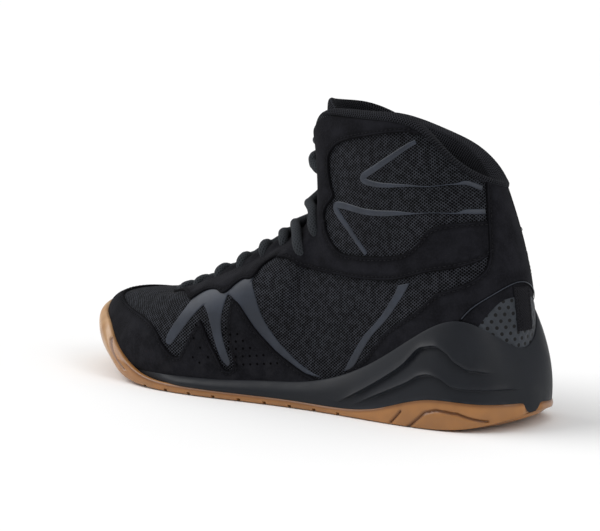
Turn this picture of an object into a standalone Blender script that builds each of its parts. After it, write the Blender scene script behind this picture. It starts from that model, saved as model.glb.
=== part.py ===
"""Boxing shoe for the left foot, mid cut, standing empty on its sole.

+X points to the toe, +Y to the outer (lateral) side, +Z up. The origin lies on the floor under the middle
of the shoe. The last is described by sections round the shoe. Each section runs from the sole's edge, up the
wall of the upper, to the top line (collar and throat). Rows 0 to 12 go from the heel along the lateral side
to the toe, and rows 13 to 23 come back along the medial side, so row k faces row 24 - k.
"""

from typing import NamedTuple

import bmesh
import bpy
import numpy as np
from mathutils import Matrix, Vector

# Driving dimensions, in metres
MM = 0.001
LENGTH = 290 * MM
# The share of LENGTH that stands over the origin, so that the whole shoe is centred on it
MIDDLE_ALONG = 0.49376
BALL_WIDTH = 99 * MM
COLLAR_HEIGHT = 153.5 * MM

# Thicknesses and clearances
WALL = 2.0 * MM
OVERLAY = 1.2 * MM
GAP = 0.35 * MM
PLATE = 3.2 * MM
INSOLE = 3.5 * MM
TONGUE = 4.5 * MM
LINING = 4.0 * MM
LACE_RADIUS = 2.2 * MM

# Samples between two sections
SAMPLES = 3


class SoleRow(NamedTuple):
    """The sole at one section: x as a share of LENGTH, y as a share of BALL_WIDTH, heights in millimetres.

    along, side  the sole's edge
    floor        the underside near that edge: toe spring, arch and heel bevel
    gum, cup     the tops of the outsole's side and of the midsole's side
    high, low    the two wave ridges on the midsole's side
    seat         the midsole's top inside
    """

    name: str
    along: float
    side: float
    floor: float
    gum: float
    cup: float
    high: float
    low: float
    seat: float


class WallRow(NamedTuple):
    """The upper's wall at one section: shares as above, the rest in millimetres.

    inset        from the sole's edge in to the wall's foot
    rim_...      the wall's end on the top line, its height as a share of COLLAR_HEIGHT
    rise, flare  the wall's first handle, up and out from its foot
    drop, roll   its second handle, down and out from the rim
    back         how far that handle lies towards the heel
    """

    name: str
    inset: float
    rim_along: float
    rim_side: float
    rim_height: float
    rise: float
    flare: float
    drop: float
    roll: float
    back: float


SOLE = [
    SoleRow("heel back", -0.0125, 0.000, 7.5, 12.5, 40.0, 30.0, 23.0, 19.0),
    SoleRow("heel corner", 0.037, 0.299, 2.5, 14.0, 53.5, 32.0, 20.5, 19.0),
    SoleRow("heel side", 0.128, 0.394, 0.0, 14.5, 49.5, 41.0, 25.5, 18.5),
    SoleRow("ankle back", 0.224, 0.409, 0.0, 7.0, 33.0, 22.0, 13.0, 17.5),
    SoleRow("ankle front", 0.314, 0.404, 0.0, 3.6, 20.5, 10.5, 7.0, 15.5),
    SoleRow("waist", 0.400, 0.409, 0.0, 3.6, 14.0, 9.0, 6.0, 12.5),
    SoleRow("instep back", 0.486, 0.434, 0.0, 3.6, 11.8, 8.5, 6.0, 10.0),
    SoleRow("instep", 0.576, 0.475, 0.0, 3.6, 9.8, 7.6, 5.6, 8.6),
    SoleRow("ball", 0.672, 0.500, 0.0, 3.9, 8.8, 7.0, 5.3, 7.8),
    SoleRow("ball front", 0.783, 0.465, 1.4, 8.6, 8.8, 7.4, 6.2, 7.8),
    SoleRow("toe side", 0.897, 0.313, 7.5, 24.4, 14.2, 13.0, 12.0, 13.4),
    SoleRow("toe corner", 0.959, 0.131, 14.0, 29.4, 20.4, 19.2, 18.3, 19.6),
    SoleRow("toe tip", 1.000, -0.091, 18.0, 31.4, 24.6, 23.4, 22.4, 23.8),
    SoleRow("toe corner medial", 0.979, -0.293, 15.0, 29.4, 21.4, 20.2, 19.2, 20.6),
    SoleRow("toe side medial", 0.914, -0.434, 9.0, 24.6, 15.4, 14.2, 13.2, 14.6),
    SoleRow("ball front medial", 0.797, -0.500, 1.8, 9.0, 9.4, 8.0, 6.8, 8.4),
    SoleRow("ball medial", 0.686, -0.495, 0.0, 4.1, 9.2, 7.2, 5.5, 8.0),
    SoleRow("instep medial", 0.586, -0.439, 0.8, 4.6, 12.0, 9.0, 6.6, 9.4),
    SoleRow("instep back medial", 0.486, -0.379, 2.4, 6.4, 16.0, 12.0, 9.0, 11.6),
    SoleRow("waist medial", 0.400, -0.348, 2.8, 7.0, 19.0, 14.0, 10.4, 14.0),
    SoleRow("ankle front medial", 0.314, -0.343, 1.6, 7.0, 25.0, 16.0, 11.4, 16.5),
    SoleRow("ankle back medial", 0.224, -0.359, 0.2, 9.0, 36.0, 24.0, 15.0, 17.8),
    SoleRow("heel side medial", 0.128, -0.364, 0.0, 14.5, 50.0, 40.0, 25.5, 18.5),
    SoleRow("heel corner medial", 0.0295, -0.315, 4.0, 9.5, 56.0, 32.0, 20.5, 19.0),
]

WALLS = [
    WallRow("heel back", 10.5, 0.070, 0.000, 0.782, 30, 6.5, 35, 12, 0),
    WallRow("heel corner", 7.0, 0.106, 0.202, 0.853, 34, 4, 40, 6.5, 0),
    WallRow("heel side", 6.5, 0.169, 0.303, 0.971, 40, 2, 45, 0, 0),
    WallRow("ankle back", 6.0, 0.259, 0.333, 1.000, 45, 1, 45, 0, 0),
    WallRow("ankle front", 5.5, 0.383, 0.255, 1.000, 45, 2, 36, 8, 6),
    WallRow("waist", 5.0, 0.431, 0.160, 0.873, 44, 3, 24, 14, 22),
    WallRow("instep back", 5.0, 0.428, 0.152, 0.723, 40, 4, 14, 20, 20),
    WallRow("instep", 5.0, 0.479, 0.152, 0.590, 34, 5, 8, 24, 8),
    WallRow("ball", 5.0, 0.559, 0.146, 0.498, 30, 5, 6, 25, 3),
    WallRow("ball front", 5.0, 0.641, 0.136, 0.414, 24, 5, 3, 24, 0),
    WallRow("toe side", 4.8, 0.717, 0.106, 0.336, 17, 3, 0, 26, 0),
    WallRow("toe corner", 4.6, 0.757, 0.061, 0.302, 13, 3, -1, 36, 0),
    WallRow("toe tip", 4.6, 0.769, -0.020, 0.294, 11, 3.8, -1.5, 45, 0),
    WallRow("toe corner medial", 4.6, 0.757, -0.091, 0.296, 13, 3.8, 0, 38, 0),
    WallRow("toe side medial", 4.8, 0.717, -0.136, 0.332, 18, 3, 0, 28, 0),
    WallRow("ball front medial", 5.0, 0.641, -0.162, 0.410, 26, 5, 3, 26, 0),
    WallRow("ball medial", 5.0, 0.559, -0.172, 0.495, 32, 4, 6, 24, 3),
    WallRow("instep medial", 5.0, 0.479, -0.172, 0.586, 38, 3, 8, 22, 8),
    WallRow("instep back medial", 5.0, 0.428, -0.172, 0.723, 44, 2, 14, 18, 20),
    WallRow("waist medial", 5.0, 0.431, -0.182, 0.860, 46, 2, 24, 13, 20),
    WallRow("ankle front medial", 5.5, 0.383, -0.248, 0.964, 45, 2, 36, 7, 6),
    WallRow("ankle back medial", 6.0, 0.259, -0.293, 0.922, 45, 1, 42, 0, 0),
    WallRow("heel side medial", 6.5, 0.169, -0.273, 0.860, 40, 2, 42, 1, 0),
    WallRow("heel corner medial", 10.8, 0.105, -0.194, 0.779, 34, 3, 38, 10, 0),
]
ROWS = len(SOLE)
TOE = ROWS // 2


def periodic_spline(knots):
    """A closed curve through the knots, smooth in its bend, as a function of the row number."""
    knots = np.asarray(knots, float)
    count = len(knots)
    bends = np.zeros((count, count))
    for row in range(count):
        bends[row, [row - 1, row, (row + 1) % count]] = 1, 4, 1
    turn = 6 * (np.roll(knots, -1, axis=0) - 2 * knots + np.roll(knots, 1, axis=0))
    curve = np.linalg.solve(bends, turn)

    def at(u):
        u = np.mod(np.asarray(u, float), count)
        low = np.floor(u).astype(int) % count
        high = (low + 1) % count
        f = (u - np.floor(u)).reshape(u.shape + (1,) * (knots.ndim - 1))
        line = knots[low] * (1 - f) + knots[high] * f
        return line + ((1 - f) ** 3 - (1 - f)) * curve[low] / 6 + (f**3 - f) * curve[high] / 6

    return at


def columns(table, *names):
    """Columns of a table in metres, each as a smooth function of the row number."""
    return [periodic_spline([getattr(row, name) * MM for row in table]) for name in names]


EDGE = periodic_spline([((r.along - MIDDLE_ALONG) * LENGTH, r.side * BALL_WIDTH) for r in SOLE])
RIM = periodic_spline(
    [((r.rim_along - MIDDLE_ALONG) * LENGTH, r.rim_side * BALL_WIDTH, r.rim_height * COLLAR_HEIGHT) for r in WALLS]
)
SPRING, GUM, CUP, HIGH, LOW, SEAT = columns(SOLE, "floor", "gum", "cup", "high", "low", "seat")
INSET, RISE, FLARE, DROP, ROLL, BACK = columns(WALLS, "inset", "rise", "flare", "drop", "roll", "back")


def floor_height(u):
    """The underside's height, which never dips under the floor between two rows."""
    return np.maximum(SPRING(u), 0)


def outward(u):
    """The level direction that points out of the shoe at the sole's edge."""
    step = 1e-3
    run = EDGE(u + step) - EDGE(u - step)
    out = np.stack([-run[..., 1], run[..., 0]], axis=-1)
    return out / np.linalg.norm(out, axis=-1, keepdims=True)


def edge_point(u, inset, height):
    """A point inset from the sole's edge, at a height."""
    inset, height = np.broadcast_arrays(inset, height)
    flat = EDGE(u) - outward(u) * inset[..., None]
    return np.concatenate([flat, height[..., None]], axis=-1)


def handles(u):
    """The four control points of the wall's section at row u."""
    out = np.concatenate([outward(u), np.zeros(u.shape + (1,))], axis=-1)
    up = np.array([0.0, 0.0, 1.0])
    foot = edge_point(u, INSET(u), SEAT(u) + GAP)
    rim = RIM(u)
    first = foot + up * RISE(u)[..., None] + out * FLARE(u)[..., None]
    heelward = np.array([-1.0, 0.0, 0.0])
    second = rim - up * DROP(u)[..., None] + out * ROLL(u)[..., None] + heelward * BACK(u)[..., None]
    return np.stack([foot, first, second, rim])


def bezier(points, f):
    """A cubic through four control points."""
    f = f[..., None]
    return (
        points[0] * (1 - f) ** 3
        + 3 * points[1] * f * (1 - f) ** 2
        + 3 * points[2] * f**2 * (1 - f)
        + points[3] * f**3
    )


LENGTH_SAMPLES = 33


def wall(u, t):
    """The upper's outside: t is the share of the section's length from its foot (0) to the rim (1).

    Past the rim the section goes straight on, which the tabs of the eyestay need.
    """
    u, t = np.broadcast_arrays(np.asarray(u, float), np.asarray(t, float))
    shape = u.shape
    u, t = u.ravel(), t.ravel()
    points = handles(u)
    steps = np.linspace(0, 1, LENGTH_SAMPLES)
    sampled = bezier(points[:, None], np.broadcast_to(steps[:, None], (LENGTH_SAMPLES, len(u))))
    pieces = np.linalg.norm(np.diff(sampled, axis=0), axis=-1)
    travelled = np.vstack([np.zeros(len(u)), np.cumsum(pieces, axis=0)])
    inside = np.clip(t, 0, 1)
    f = np.array([np.interp(s * run[-1], run, steps) for s, run in zip(inside, travelled.T)])
    past = (t - inside) * travelled[-1]
    ending = points[3] - points[2]
    ending /= np.linalg.norm(ending, axis=-1, keepdims=True)
    return (bezier(points, f) + ending * past[:, None]).reshape(shape + (3,))


def wall_normal(u, t):
    """The upper's outward normal."""
    step = 1e-3
    u, t = np.broadcast_arrays(np.asarray(u, float), np.asarray(t, float))
    t = np.clip(t, step, 1 - step)
    along = wall(u + 10 * step, t) - wall(u - 10 * step, t)
    upward = wall(u, t + step) - wall(u, t - step)
    normal = np.cross(upward, along)
    return normal / np.linalg.norm(normal, axis=-1, keepdims=True)


def skin(u, t, lift):
    """A point lifted off the upper's outside, or sunk into it where lift is negative."""
    lift = np.asarray(lift, float)
    return wall(u, t) + wall_normal(u, t) * lift[..., None]


def wall_share_at(u, height):
    """The share t at which the wall at row u passes a height, near its foot."""
    shares = np.linspace(0, 0.7, 57)
    heights = wall(u[:, None], shares[None, :])[..., 2]
    return np.array([np.interp(h, np.maximum.accumulate(row), shares) for h, row in zip(height, heights)])


def rows(first, last, samples):
    """Row numbers from first to last, with the stated samples between two stations."""
    return np.linspace(first, last, max(2, round(abs(last - first) * samples) + 1))


def ring():
    """Row numbers once round the shoe."""
    return np.arange(ROWS * SAMPLES) / SAMPLES


# Helpers that turn points into objects


def collection(name):
    made = bpy.data.collections.new(name)
    bpy.context.scene.collection.children.link(made)
    return made


def material(name, colour, roughness):
    made = bpy.data.materials.new(name)
    made.use_nodes = True
    shader = made.node_tree.nodes["Principled BSDF"]
    shader.inputs["Base Color"].default_value = (*colour, 1.0)
    shader.inputs["Roughness"].default_value = roughness
    return made


def add_object(name, mesh, finish, home):
    made = bpy.data.objects.new(name, mesh)
    made.data.materials.append(finish)
    home.objects.link(made)
    mesh.shade_smooth()
    mesh.set_sharp_from_angle(angle=np.radians(40))
    return made


def hide(cutter):
    cutter.hide_render = True
    cutter.display_type = "WIRE"


def mesh_from(name, work):
    mesh = bpy.data.meshes.new(name)
    work.to_mesh(mesh)
    work.free()
    return mesh


def shell(name, points, thickness, finish, home, wrap=False):
    """A sheet through a grid of points (sections by shares) with a thickness.

    A positive thickness grows away from the foot, a negative one towards it.
    """
    count, depth = points.shape[:2]
    work = bmesh.new()
    verts = [[work.verts.new(p) for p in line] for line in points]
    for i in range(count if wrap else count - 1):
        near, far = verts[i], verts[(i + 1) % count]
        for j in range(depth - 1):
            work.faces.new((near[j], near[j + 1], far[j + 1], far[j]))
    made = add_object(name, mesh_from(name, work), finish, home)
    solidify = made.modifiers.new("thickness", "SOLIDIFY")
    solidify.thickness = abs(thickness)
    solidify.offset = np.sign(thickness)
    return made


def loft(name, loops, finish, home):
    """A closed body through loops of equal length, closed at both ends by strips from side to side."""
    count = len(loops[0])
    work = bmesh.new()
    verts = [[work.verts.new(p) for p in loop] for loop in loops]
    for lower, upper in zip(verts, verts[1:]):
        for i in range(count):
            j = (i + 1) % count
            work.faces.new((lower[i], lower[j], upper[j], upper[i]))
    for end in (verts[0], verts[-1]):
        for i in range(count // 2):
            corners = [end[i], end[i + 1], end[count - 1 - i], end[-i % count]]
            work.faces.new(list(dict.fromkeys(corners)))
    bmesh.ops.recalc_face_normals(work, faces=work.faces)
    return add_object(name, mesh_from(name, work), finish, home)


def toward_middle(loop, share, height):
    """A loop drawn in towards the shoe's middle line, at a height."""
    middle = (loop + np.roll(loop[::-1], 1, axis=0)) / 2
    drawn = middle + (loop - middle) * share
    drawn[:, 2] = height
    return drawn


def blend(first, second, share):
    """Points between two loops."""
    return first + (second - first) * np.asarray(share)[..., None]


def smooth_step(low, high, value):
    share = np.clip((value - low) / (high - low), 0, 1)
    return share * share * (3 - 2 * share)


# Sole

RIM_INSET = 3.0 * MM
RIM_LIP = 1.5 * MM
WRAP_GAP = 1.0 * MM
CUP_LIP = 1.6 * MM
CUP_GAP = 0.6 * MM
TREAD_INSET = 4.5 * MM
TREAD_SHARE = 0.7
TREAD_RISE = 0.85
TREAD_DROP = 0.6 * MM
CORNER_INSET = 0.3 * MM
CORNER_RISE = 1.4 * MM
BUMPER_CORNER_RISE = 4.0 * MM
PLATE_EDGE_RISE = 0.1 * MM
RIM_HALFWAY = 0.55
MIDDLE_INSET = 10.0 * MM
MIDDLE_SHARE = 0.8
SIDE_INSET = 0.5 * MM
SIDE_BELLY = 1.2 * MM
RIDGE_STEP = 1.2 * MM
RIDGE_EDGE = 0.9 * MM
# Heights of the sole's side between which the ridges come up to full depth
RIDGE_HEIGHTS = (5.0 * MM, 20.0 * MM)
# The shares of the side's height between which each ridge stays
LOW_RIDGE = (0.25, 0.5)
HIGH_RIDGE = (0.55, 0.85)
RIDGE_SHARE = 0.12
SUNK_LEDGE = 0.3
SINK_GAPS = 1.5
CUP_INNER_SHARES = (0.98, 0.66, 0.33)
# Rows behind the toe tip over which the toe bumper takes over from the sole's plain side
COVER_ROWS = (4.2, 3.4)
SINK_ROWS = (3.4, 2.9)
WRAP_ROWS = (3.0, 2.2)
GROOVES = 9
GROOVE_FIRST = -52.0 * MM
GROOVE_PITCH = 15.5 * MM
GROOVE_WIDTH = 1.6 * MM
GROOVE_DEPTH = 1.3 * MM


def toe_share(u, span):
    """A share that grows from 0 to 1 over a span of rows towards the toe tip."""
    return smooth_step(*span, np.abs(np.mod(u, ROWS) - TOE))


def middle_ring(u, height):
    """A loop well inside the sole's edge, which the layers of the sole share."""
    return toward_middle(edge_point(u, MIDDLE_INSET, height), MIDDLE_SHARE, height)


def wall_at(u, height, lift):
    """A point at a height, lifted off the wall's lower part."""
    return skin(u, wall_share_at(u, height), np.full(len(u), lift))


def flex_grooves(sole, cutters):
    """Grooves across the underside of the forefoot."""
    work = bmesh.new()
    for number in range(GROOVES):
        middle = Vector((GROOVE_FIRST + number * GROOVE_PITCH, 0, 0))
        size = Matrix.Diagonal((GROOVE_WIDTH, 2 * BALL_WIDTH, 2 * GROOVE_DEPTH, 1))
        bmesh.ops.create_cube(work, size=1, matrix=Matrix.Translation(middle) @ size)
    cutter = add_object("groove_cutter", mesh_from("groove_cutter", work), sole.data.materials[0], cutters)
    hide(cutter)
    cut = sole.modifiers.new("grooves", "BOOLEAN")
    cut.operation = "DIFFERENCE"
    cut.object = cutter


def outsole(finish, home, cutters):
    """Gum rubber plate with a raised heel rim, a toe bumper and flex grooves."""
    u = ring()
    wrap = toe_share(u, WRAP_ROWS)
    floor, gum = floor_height(u), GUM(u)
    plate = floor + PLATE
    inner_foot = plate + PLATE_EDGE_RISE
    halfway = inner_foot + RIM_HALFWAY * (gum - inner_foot)
    above_cup = np.minimum(CUP(u) + 2 * GAP, gum - GAP)
    halfway = np.where(CUP(u) < gum, np.maximum(halfway, above_cup), halfway)
    tread = edge_point(u, TREAD_INSET, floor)
    corner = floor + CORNER_RISE + BUMPER_CORNER_RISE * wrap
    loops = [
        toward_middle(tread, TREAD_SHARE, np.maximum(floor * TREAD_RISE - TREAD_DROP, 0)),
        tread,
        edge_point(u, CORNER_INSET, corner),
        blend(edge_point(u, CORNER_INSET, gum), wall_at(u, gum, WRAP_GAP + RIM_LIP), wrap),
        blend(edge_point(u, RIM_INSET, gum), wall_at(u, gum, WRAP_GAP), wrap),
        blend(edge_point(u, RIM_INSET, halfway), wall_at(u, halfway, WRAP_GAP), wrap),
        edge_point(u, RIM_INSET, inner_foot),
        middle_ring(u, plate),
    ]
    made = loft("outsole", loops, finish, home)
    flex_grooves(made, cutters)
    return made


def midsole(finish, home):
    """Charcoal cup: a slab on the outsole, a wall round the upper's foot, and two waves on its side."""
    u = ring()
    cover = toe_share(u, COVER_ROWS)
    plate = floor_height(u) + PLATE
    cup, seat = CUP(u), SEAT(u)
    hidden = RIM_INSET + GAP * (1 + SINK_GAPS * toe_share(u, SINK_ROWS))
    sunk = plate + PLATE_EDGE_RISE + GAP
    ledge = GUM(u) + GAP
    ledge += (sunk + SUNK_LEDGE * (cup - sunk) - ledge) * toe_share(u, SINK_ROWS)
    height = cup - ledge
    low = np.clip(LOW(u), *(ledge + share * height for share in LOW_RIDGE))
    high = np.clip(HIGH(u), *(ledge + share * height for share in HIGH_RIDGE))
    foot_of_side = edge_point(u, SIDE_INSET + (hidden - SIDE_INSET) * cover, ledge)
    top_of_side = blend(wall_at(u, cup, GAP + CUP_LIP), edge_point(u, hidden, cup), cover)
    middle = edge_point(u, hidden * cover - SIDE_BELLY * (1 - cover), (ledge + cup) / 2)
    step = RIDGE_STEP * smooth_step(*RIDGE_HEIGHTS, height)
    ridge = np.minimum(RIDGE_EDGE, RIDGE_SHARE * height)
    out = np.append(outward(u), np.zeros((len(u), 1)), axis=1)

    def side(level, recess):
        f = ((level - ledge) / height)[:, None]
        curve = foot_of_side * (1 - f) ** 2 + 2 * middle * f * (1 - f) + top_of_side * f**2
        return curve - out * (recess * step)[:, None]

    loops = [
        middle_ring(u, plate + GAP),
        edge_point(u, hidden, sunk),
        edge_point(u, hidden, ledge),
        foot_of_side,
        side(low - ridge, 1.0),
        side(low, 0.0),
        side(high - ridge, 1.0),
        side(high, 0.0),
        top_of_side,
        *(wall_at(u, seat + (cup - seat) * share, CUP_GAP) for share in CUP_INNER_SHARES),
        edge_point(u, INSET(u) - GAP, seat),
        middle_ring(u, seat),
    ]
    return loft("midsole", loops, finish, home)


def insole(finish, home):
    """Loose foam sheet on the midsole, inside the upper."""
    u = ring()
    low = SEAT(u) + GAP
    inset = INSET(u) + WALL + 3 * GAP
    loops = [middle_ring(u, low), edge_point(u, inset, low), edge_point(u, inset, low + INSOLE)]
    return loft("insole", loops, finish, home)


# Upper, tongue and lining

WALL_STEPS = 9
LINING_STEPS = 3
LINING_ROW = 4.0


def upper(finish, home):
    """Hollow mesh wall, open at the collar, the throat and underneath."""
    shares = np.linspace(0, 1, WALL_STEPS + 1)
    points = wall(ring()[:, None], shares[None, :])
    return shell("upper", points, -WALL, finish, home, wrap=True)


def collar_lining(finish, home):
    """Padded cuff inside the shaft."""
    u = rows(-LINING_ROW, LINING_ROW, SAMPLES)
    shares = 1 - np.arange(LINING_STEPS, -1, -1) / WALL_STEPS
    u, shares = np.meshgrid(u, shares, indexing="ij")
    points = skin(u, shares, np.full(u.shape, -(WALL + GAP)))
    return shell("collar_lining", points, -LINING, finish, home)


def wall_length(u):
    """The length of the wall's section from its foot to the rim."""
    shares = np.linspace(0, 1, LENGTH_SAMPLES)
    return np.linalg.norm(np.diff(wall(u[:, None], shares[None, :]), axis=1), axis=-1).sum(axis=1)


class TongueTop(NamedTuple):
    """A row of the tongue above the throat, in millimetres but for its width.

    rise, lean  how far its middle lies above and before the throat's end
    lift, wrap  how far its two edges lie above and behind that
    width       as a share of the width at the throat's end
    """

    rise: float
    lean: float
    lift: float
    wrap: float
    width: float


TONGUE_ROWS = (11.0, 5.0)
TONGUE_SHARES = (1 - 1 / WALL_STEPS, 1.0)
TONGUE_CROWN = 2.5 * MM
CROWN_ROWS = (11.0, 9.0)
TONGUE_BASE = (8.0 * MM, 0.0, -3.0 * MM)
TONGUE_TOPS = [
    TongueTop(9.0, 0.5, 0.5, 2.0, 0.92),
    TongueTop(17.0, 1.5, 2.0, 4.5, 0.92),
    TongueTop(23.0, 2.5, 3.5, 7.5, 0.93),
]


def tongue_side(u):
    """The tongue's points under one edge of the throat, from its own edge to the rim."""
    u, shares = np.meshgrid(u, TONGUE_SHARES, indexing="ij")
    return skin(u, shares, np.full(shares.shape, -(WALL + 2 * GAP)))


def tongue(finish, home):
    """Padded sheet under the throat, which stands above the collar's front."""
    u = rows(*TONGUE_ROWS, SAMPLES)
    lateral, medial = tongue_side(u), tongue_side(ROWS - u)
    front = wall_normal(u, 1.0) + wall_normal(ROWS - u, 1.0)
    front *= (TONGUE_CROWN * smooth_step(*CROWN_ROWS, u) / np.linalg.norm(front, axis=-1))[:, None]
    crown = (lateral[:, -1] + medial[:, -1]) / 2 + front
    between = [(crown + side[:, -1]) / 2 + front / 4 for side in (lateral, medial)]
    across = [*np.moveaxis(lateral, 1, 0), between[0], crown, between[1], *np.moveaxis(medial, 1, 0)[::-1]]
    points = np.stack(across, axis=1)
    base = points[:1] + np.array(TONGUE_BASE)
    middle = points[-1:, 3:4]
    spread = points[-1:] - middle
    edges = (spread[..., 1:2] / np.abs(spread[..., 1:2]).max()) ** 2
    tops = []
    for row in TONGUE_TOPS:
        shift = np.array([row.lean, 0, row.rise]) + edges * np.array([-row.wrap, 0, row.lift])
        tops.append(middle + spread * np.array([1, row.width, 1]) + shift * MM)
    return shell("tongue", np.concatenate([base, points, *tops])[::-1], -TONGUE, finish, home)


# Overlays: cut from the upper's own function, lifted off it


class EdgePoint(NamedTuple):
    """A point on a panel's edge: the row, counted from the heel, and the share of the wall's height."""

    row: float
    share: float


SEAT_OF_OVERLAY = 0.7 * MM
HEEL_SEAT = 0.9 * MM
ABOVE_SOLE = 0.8 * MM
PANEL_GAP = 0.012

TOE_CAP_EDGE = [
    EdgePoint(8.0, 0.11),
    EdgePoint(8.42, 0.215),
    EdgePoint(8.73, 0.305),
    EdgePoint(9.19, 0.375),
    EdgePoint(10.5, 0.42),
    EdgePoint(11.24, 0.455),
    EdgePoint(12.0, 0.53),
]
FRONT_PANEL_TOE_EDGE = [EdgePoint(7.85, 0.035), EdgePoint(7.72, 0.35)]
FRONT_PANEL_HEEL_EDGE = [
    EdgePoint(6.80, 0.035),
    EdgePoint(6.92, 0.08),
    EdgePoint(7.36, 0.235),
    EdgePoint(7.67, 0.35),
]
REAR_PANEL_TOE_EDGE = [EdgePoint(6.55, 0.035), EdgePoint(6.85, 0.175), EdgePoint(7.29, 0.49)]
REAR_PANEL_HEEL_EDGE = [
    EdgePoint(4.80, 0.035),
    EdgePoint(5.36, 0.095),
    EdgePoint(6.17, 0.24),
    EdgePoint(6.82, 0.40),
    EdgePoint(7.24, 0.49),
]
EYESTAY_EDGE = [
    EdgePoint(2.0, 0.975),
    EdgePoint(2.55, 0.955),
    EdgePoint(3.34, 0.905),
    EdgePoint(3.85, 0.83),
    EdgePoint(3.95, 0.75),
    EdgePoint(4.1, 0.66),
    EdgePoint(4.3, 0.60),
    EdgePoint(4.7, 0.62),
    EdgePoint(5.5, 0.69),
    EdgePoint(6.5, 0.70),
    EdgePoint(7.0, 0.65),
    EdgePoint(7.5, 0.585),
    EdgePoint(8.3, 0.555),
    EdgePoint(9.0, 0.68),
    EdgePoint(10.0, 0.80),
    EdgePoint(11.6, 0.93),
]
BAND_LOWER_EDGE = [
    EdgePoint(0.76, 0.60),
    EdgePoint(1.44, 0.505),
    EdgePoint(2.53, 0.41),
    EdgePoint(3.53, 0.39),
    EdgePoint(4.66, 0.44),
    EdgePoint(6.4, 0.662),
]
BAND_UPPER_EDGE = [
    EdgePoint(0.76, 0.785),
    EdgePoint(1.28, 0.715),
    EdgePoint(1.77, 0.635),
    EdgePoint(2.48, 0.505),
    EdgePoint(3.17, 0.48),
    EdgePoint(3.7, 0.475),
    EdgePoint(4.15, 0.56),
    EdgePoint(4.7, 0.605),
    EdgePoint(5.5, 0.675),
    EdgePoint(6.4, 0.682),
]
COUNTER_EDGE = [
    EdgePoint(1 / 3, 1.0),
    EdgePoint(2 / 3, 0.57),
    EdgePoint(1.1, 0.475),
    EdgePoint(1.78, 0.38),
    EdgePoint(2.21, 0.30),
    EdgePoint(2.93, 0.215),
    EdgePoint(10 / 3, 0.12),
]
PATCH_EDGE = [EdgePoint(0.0, 0.455), EdgePoint(0.46, 0.425), EdgePoint(0.75, 0.35), EdgePoint(0.9, 0.30)]
PATCH_ROW = 0.8
STRIP_ROW = 0.2
STRIP_SHARES = (0.29, 0.49)
STRIP = 1.0 * MM

EYELET_ROWS = (11.0, 10.2, 9.4, 8.6, 7.8, 7.0, 6.1, 5.15)
EYELET_INSET = 2.0 * MM
TAB = 3.5 * MM
TAB_ROWS = 0.45


def edge_share(edge, row):
    """The share of a panel's edge at a row."""
    return np.interp(row, [p.row for p in edge], [p.share for p in edge])


def edge_row(edge, share):
    """The row of a panel's edge at a share."""
    return np.interp(share, [p.share for p in edge], [p.row for p in edge])


def foot_share(u):
    """The share just above the sole's side."""
    return wall_share_at(u, np.maximum(CUP(u), GUM(u)) + ABOVE_SOLE)


def panel(name, u, shares, finish, home, lift=SEAT_OF_OVERLAY, thickness=OVERLAY):
    """A piece over the upper on a grid of rows and shares, on whichever side its rows lie."""
    if u[-1, 0] < u[0, 0]:
        u, shares = u[::-1], shares[::-1]
    return shell(name, skin(u, shares, np.full(u.shape, lift)), thickness, finish, home)


def between(u, low, high, steps):
    """A grid of rows and shares between a lower and an upper edge."""
    shares = low[:, None] + (high - low)[:, None] * np.linspace(0, 1, steps + 1)[None, :]
    return np.broadcast_to(u[:, None], shares.shape), shares


def across(parts, heel_edge, toe_edge, steps):
    """A grid of rows between two upright edges, with the part of their height at each of its points."""
    shares = heel_edge[0].share + (heel_edge[-1].share - heel_edge[0].share) * parts
    heel, toe = edge_row(heel_edge, shares), edge_row(toe_edge, shares)
    u = heel[None, :] + (toe - heel)[None, :] * np.linspace(0, 1, steps + 1)[:, None]
    return u, np.broadcast_to(parts[None, :], u.shape)


def from_heel(u):
    """The row number counted from the heel on either side."""
    u = np.mod(u, ROWS)
    return np.minimum(u, ROWS - u)


def toe_cap(finish, home):
    """Suede cap round the toe, which runs out along both sides."""
    first = TOE_CAP_EDGE[0].row
    u = rows(first, ROWS - first, SAMPLES)
    grid = between(u, foot_share(u), edge_share(TOE_CAP_EDGE, from_heel(u)), 4)
    return panel("toe_cap", *grid, finish, home)


def side_panels(side, place, finish, home):
    """Two suede points on the forefoot, one before and one behind the middle strip."""
    for name, heel_edge, toe_edge in (
        ("front", FRONT_PANEL_HEEL_EDGE, FRONT_PANEL_TOE_EDGE),
        ("rear", REAR_PANEL_HEEL_EDGE, REAR_PANEL_TOE_EDGE),
    ):
        u, parts = across(np.linspace(0, 1, 6), heel_edge, toe_edge, 2)
        low = foot_share(place(u[:, 0]))[:, None]
        shares = low + (heel_edge[-1].share - low) * parts
        panel(f"side_panel_{name}_{side}", place(u), shares, finish, home)


def eyestay(side, place, finish, home):
    """Lace facing with a tab at each eyelet, which goes on as the band along the collar."""
    eyelets = np.array(EYELET_ROWS[::-1])
    valleys = np.array([eyelets[0] - TAB_ROWS, *(eyelets[:-1] + eyelets[1:]) / 2, EYESTAY_EDGE[-1].row])
    collar = rows(EYESTAY_EDGE[0].row, valleys[0], SAMPLES)
    tabs = np.concatenate([eyelets - TAB_ROWS / 3, eyelets + TAB_ROWS / 3])
    u = np.union1d(np.union1d(collar, valleys), tabs)
    top = 1 + np.where(np.isin(u, tabs), TAB, 0) / wall_length(place(u))
    u, shares = between(u, edge_share(EYESTAY_EDGE, u), top, 4)
    return panel(f"eyestay_{side}", place(u), shares, finish, home)


def ankle_band(side, place, finish, home):
    """Suede band under the ankle window, from the eyestay to the heel."""
    u = rows(BAND_LOWER_EDGE[0].row, BAND_LOWER_EDGE[-1].row, SAMPLES)
    grid = between(u, edge_share(BAND_LOWER_EDGE, u), edge_share(BAND_UPPER_EDGE, u), 2)
    return panel(f"ankle_band_{side}", place(grid[0]), grid[1], finish, home)


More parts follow.
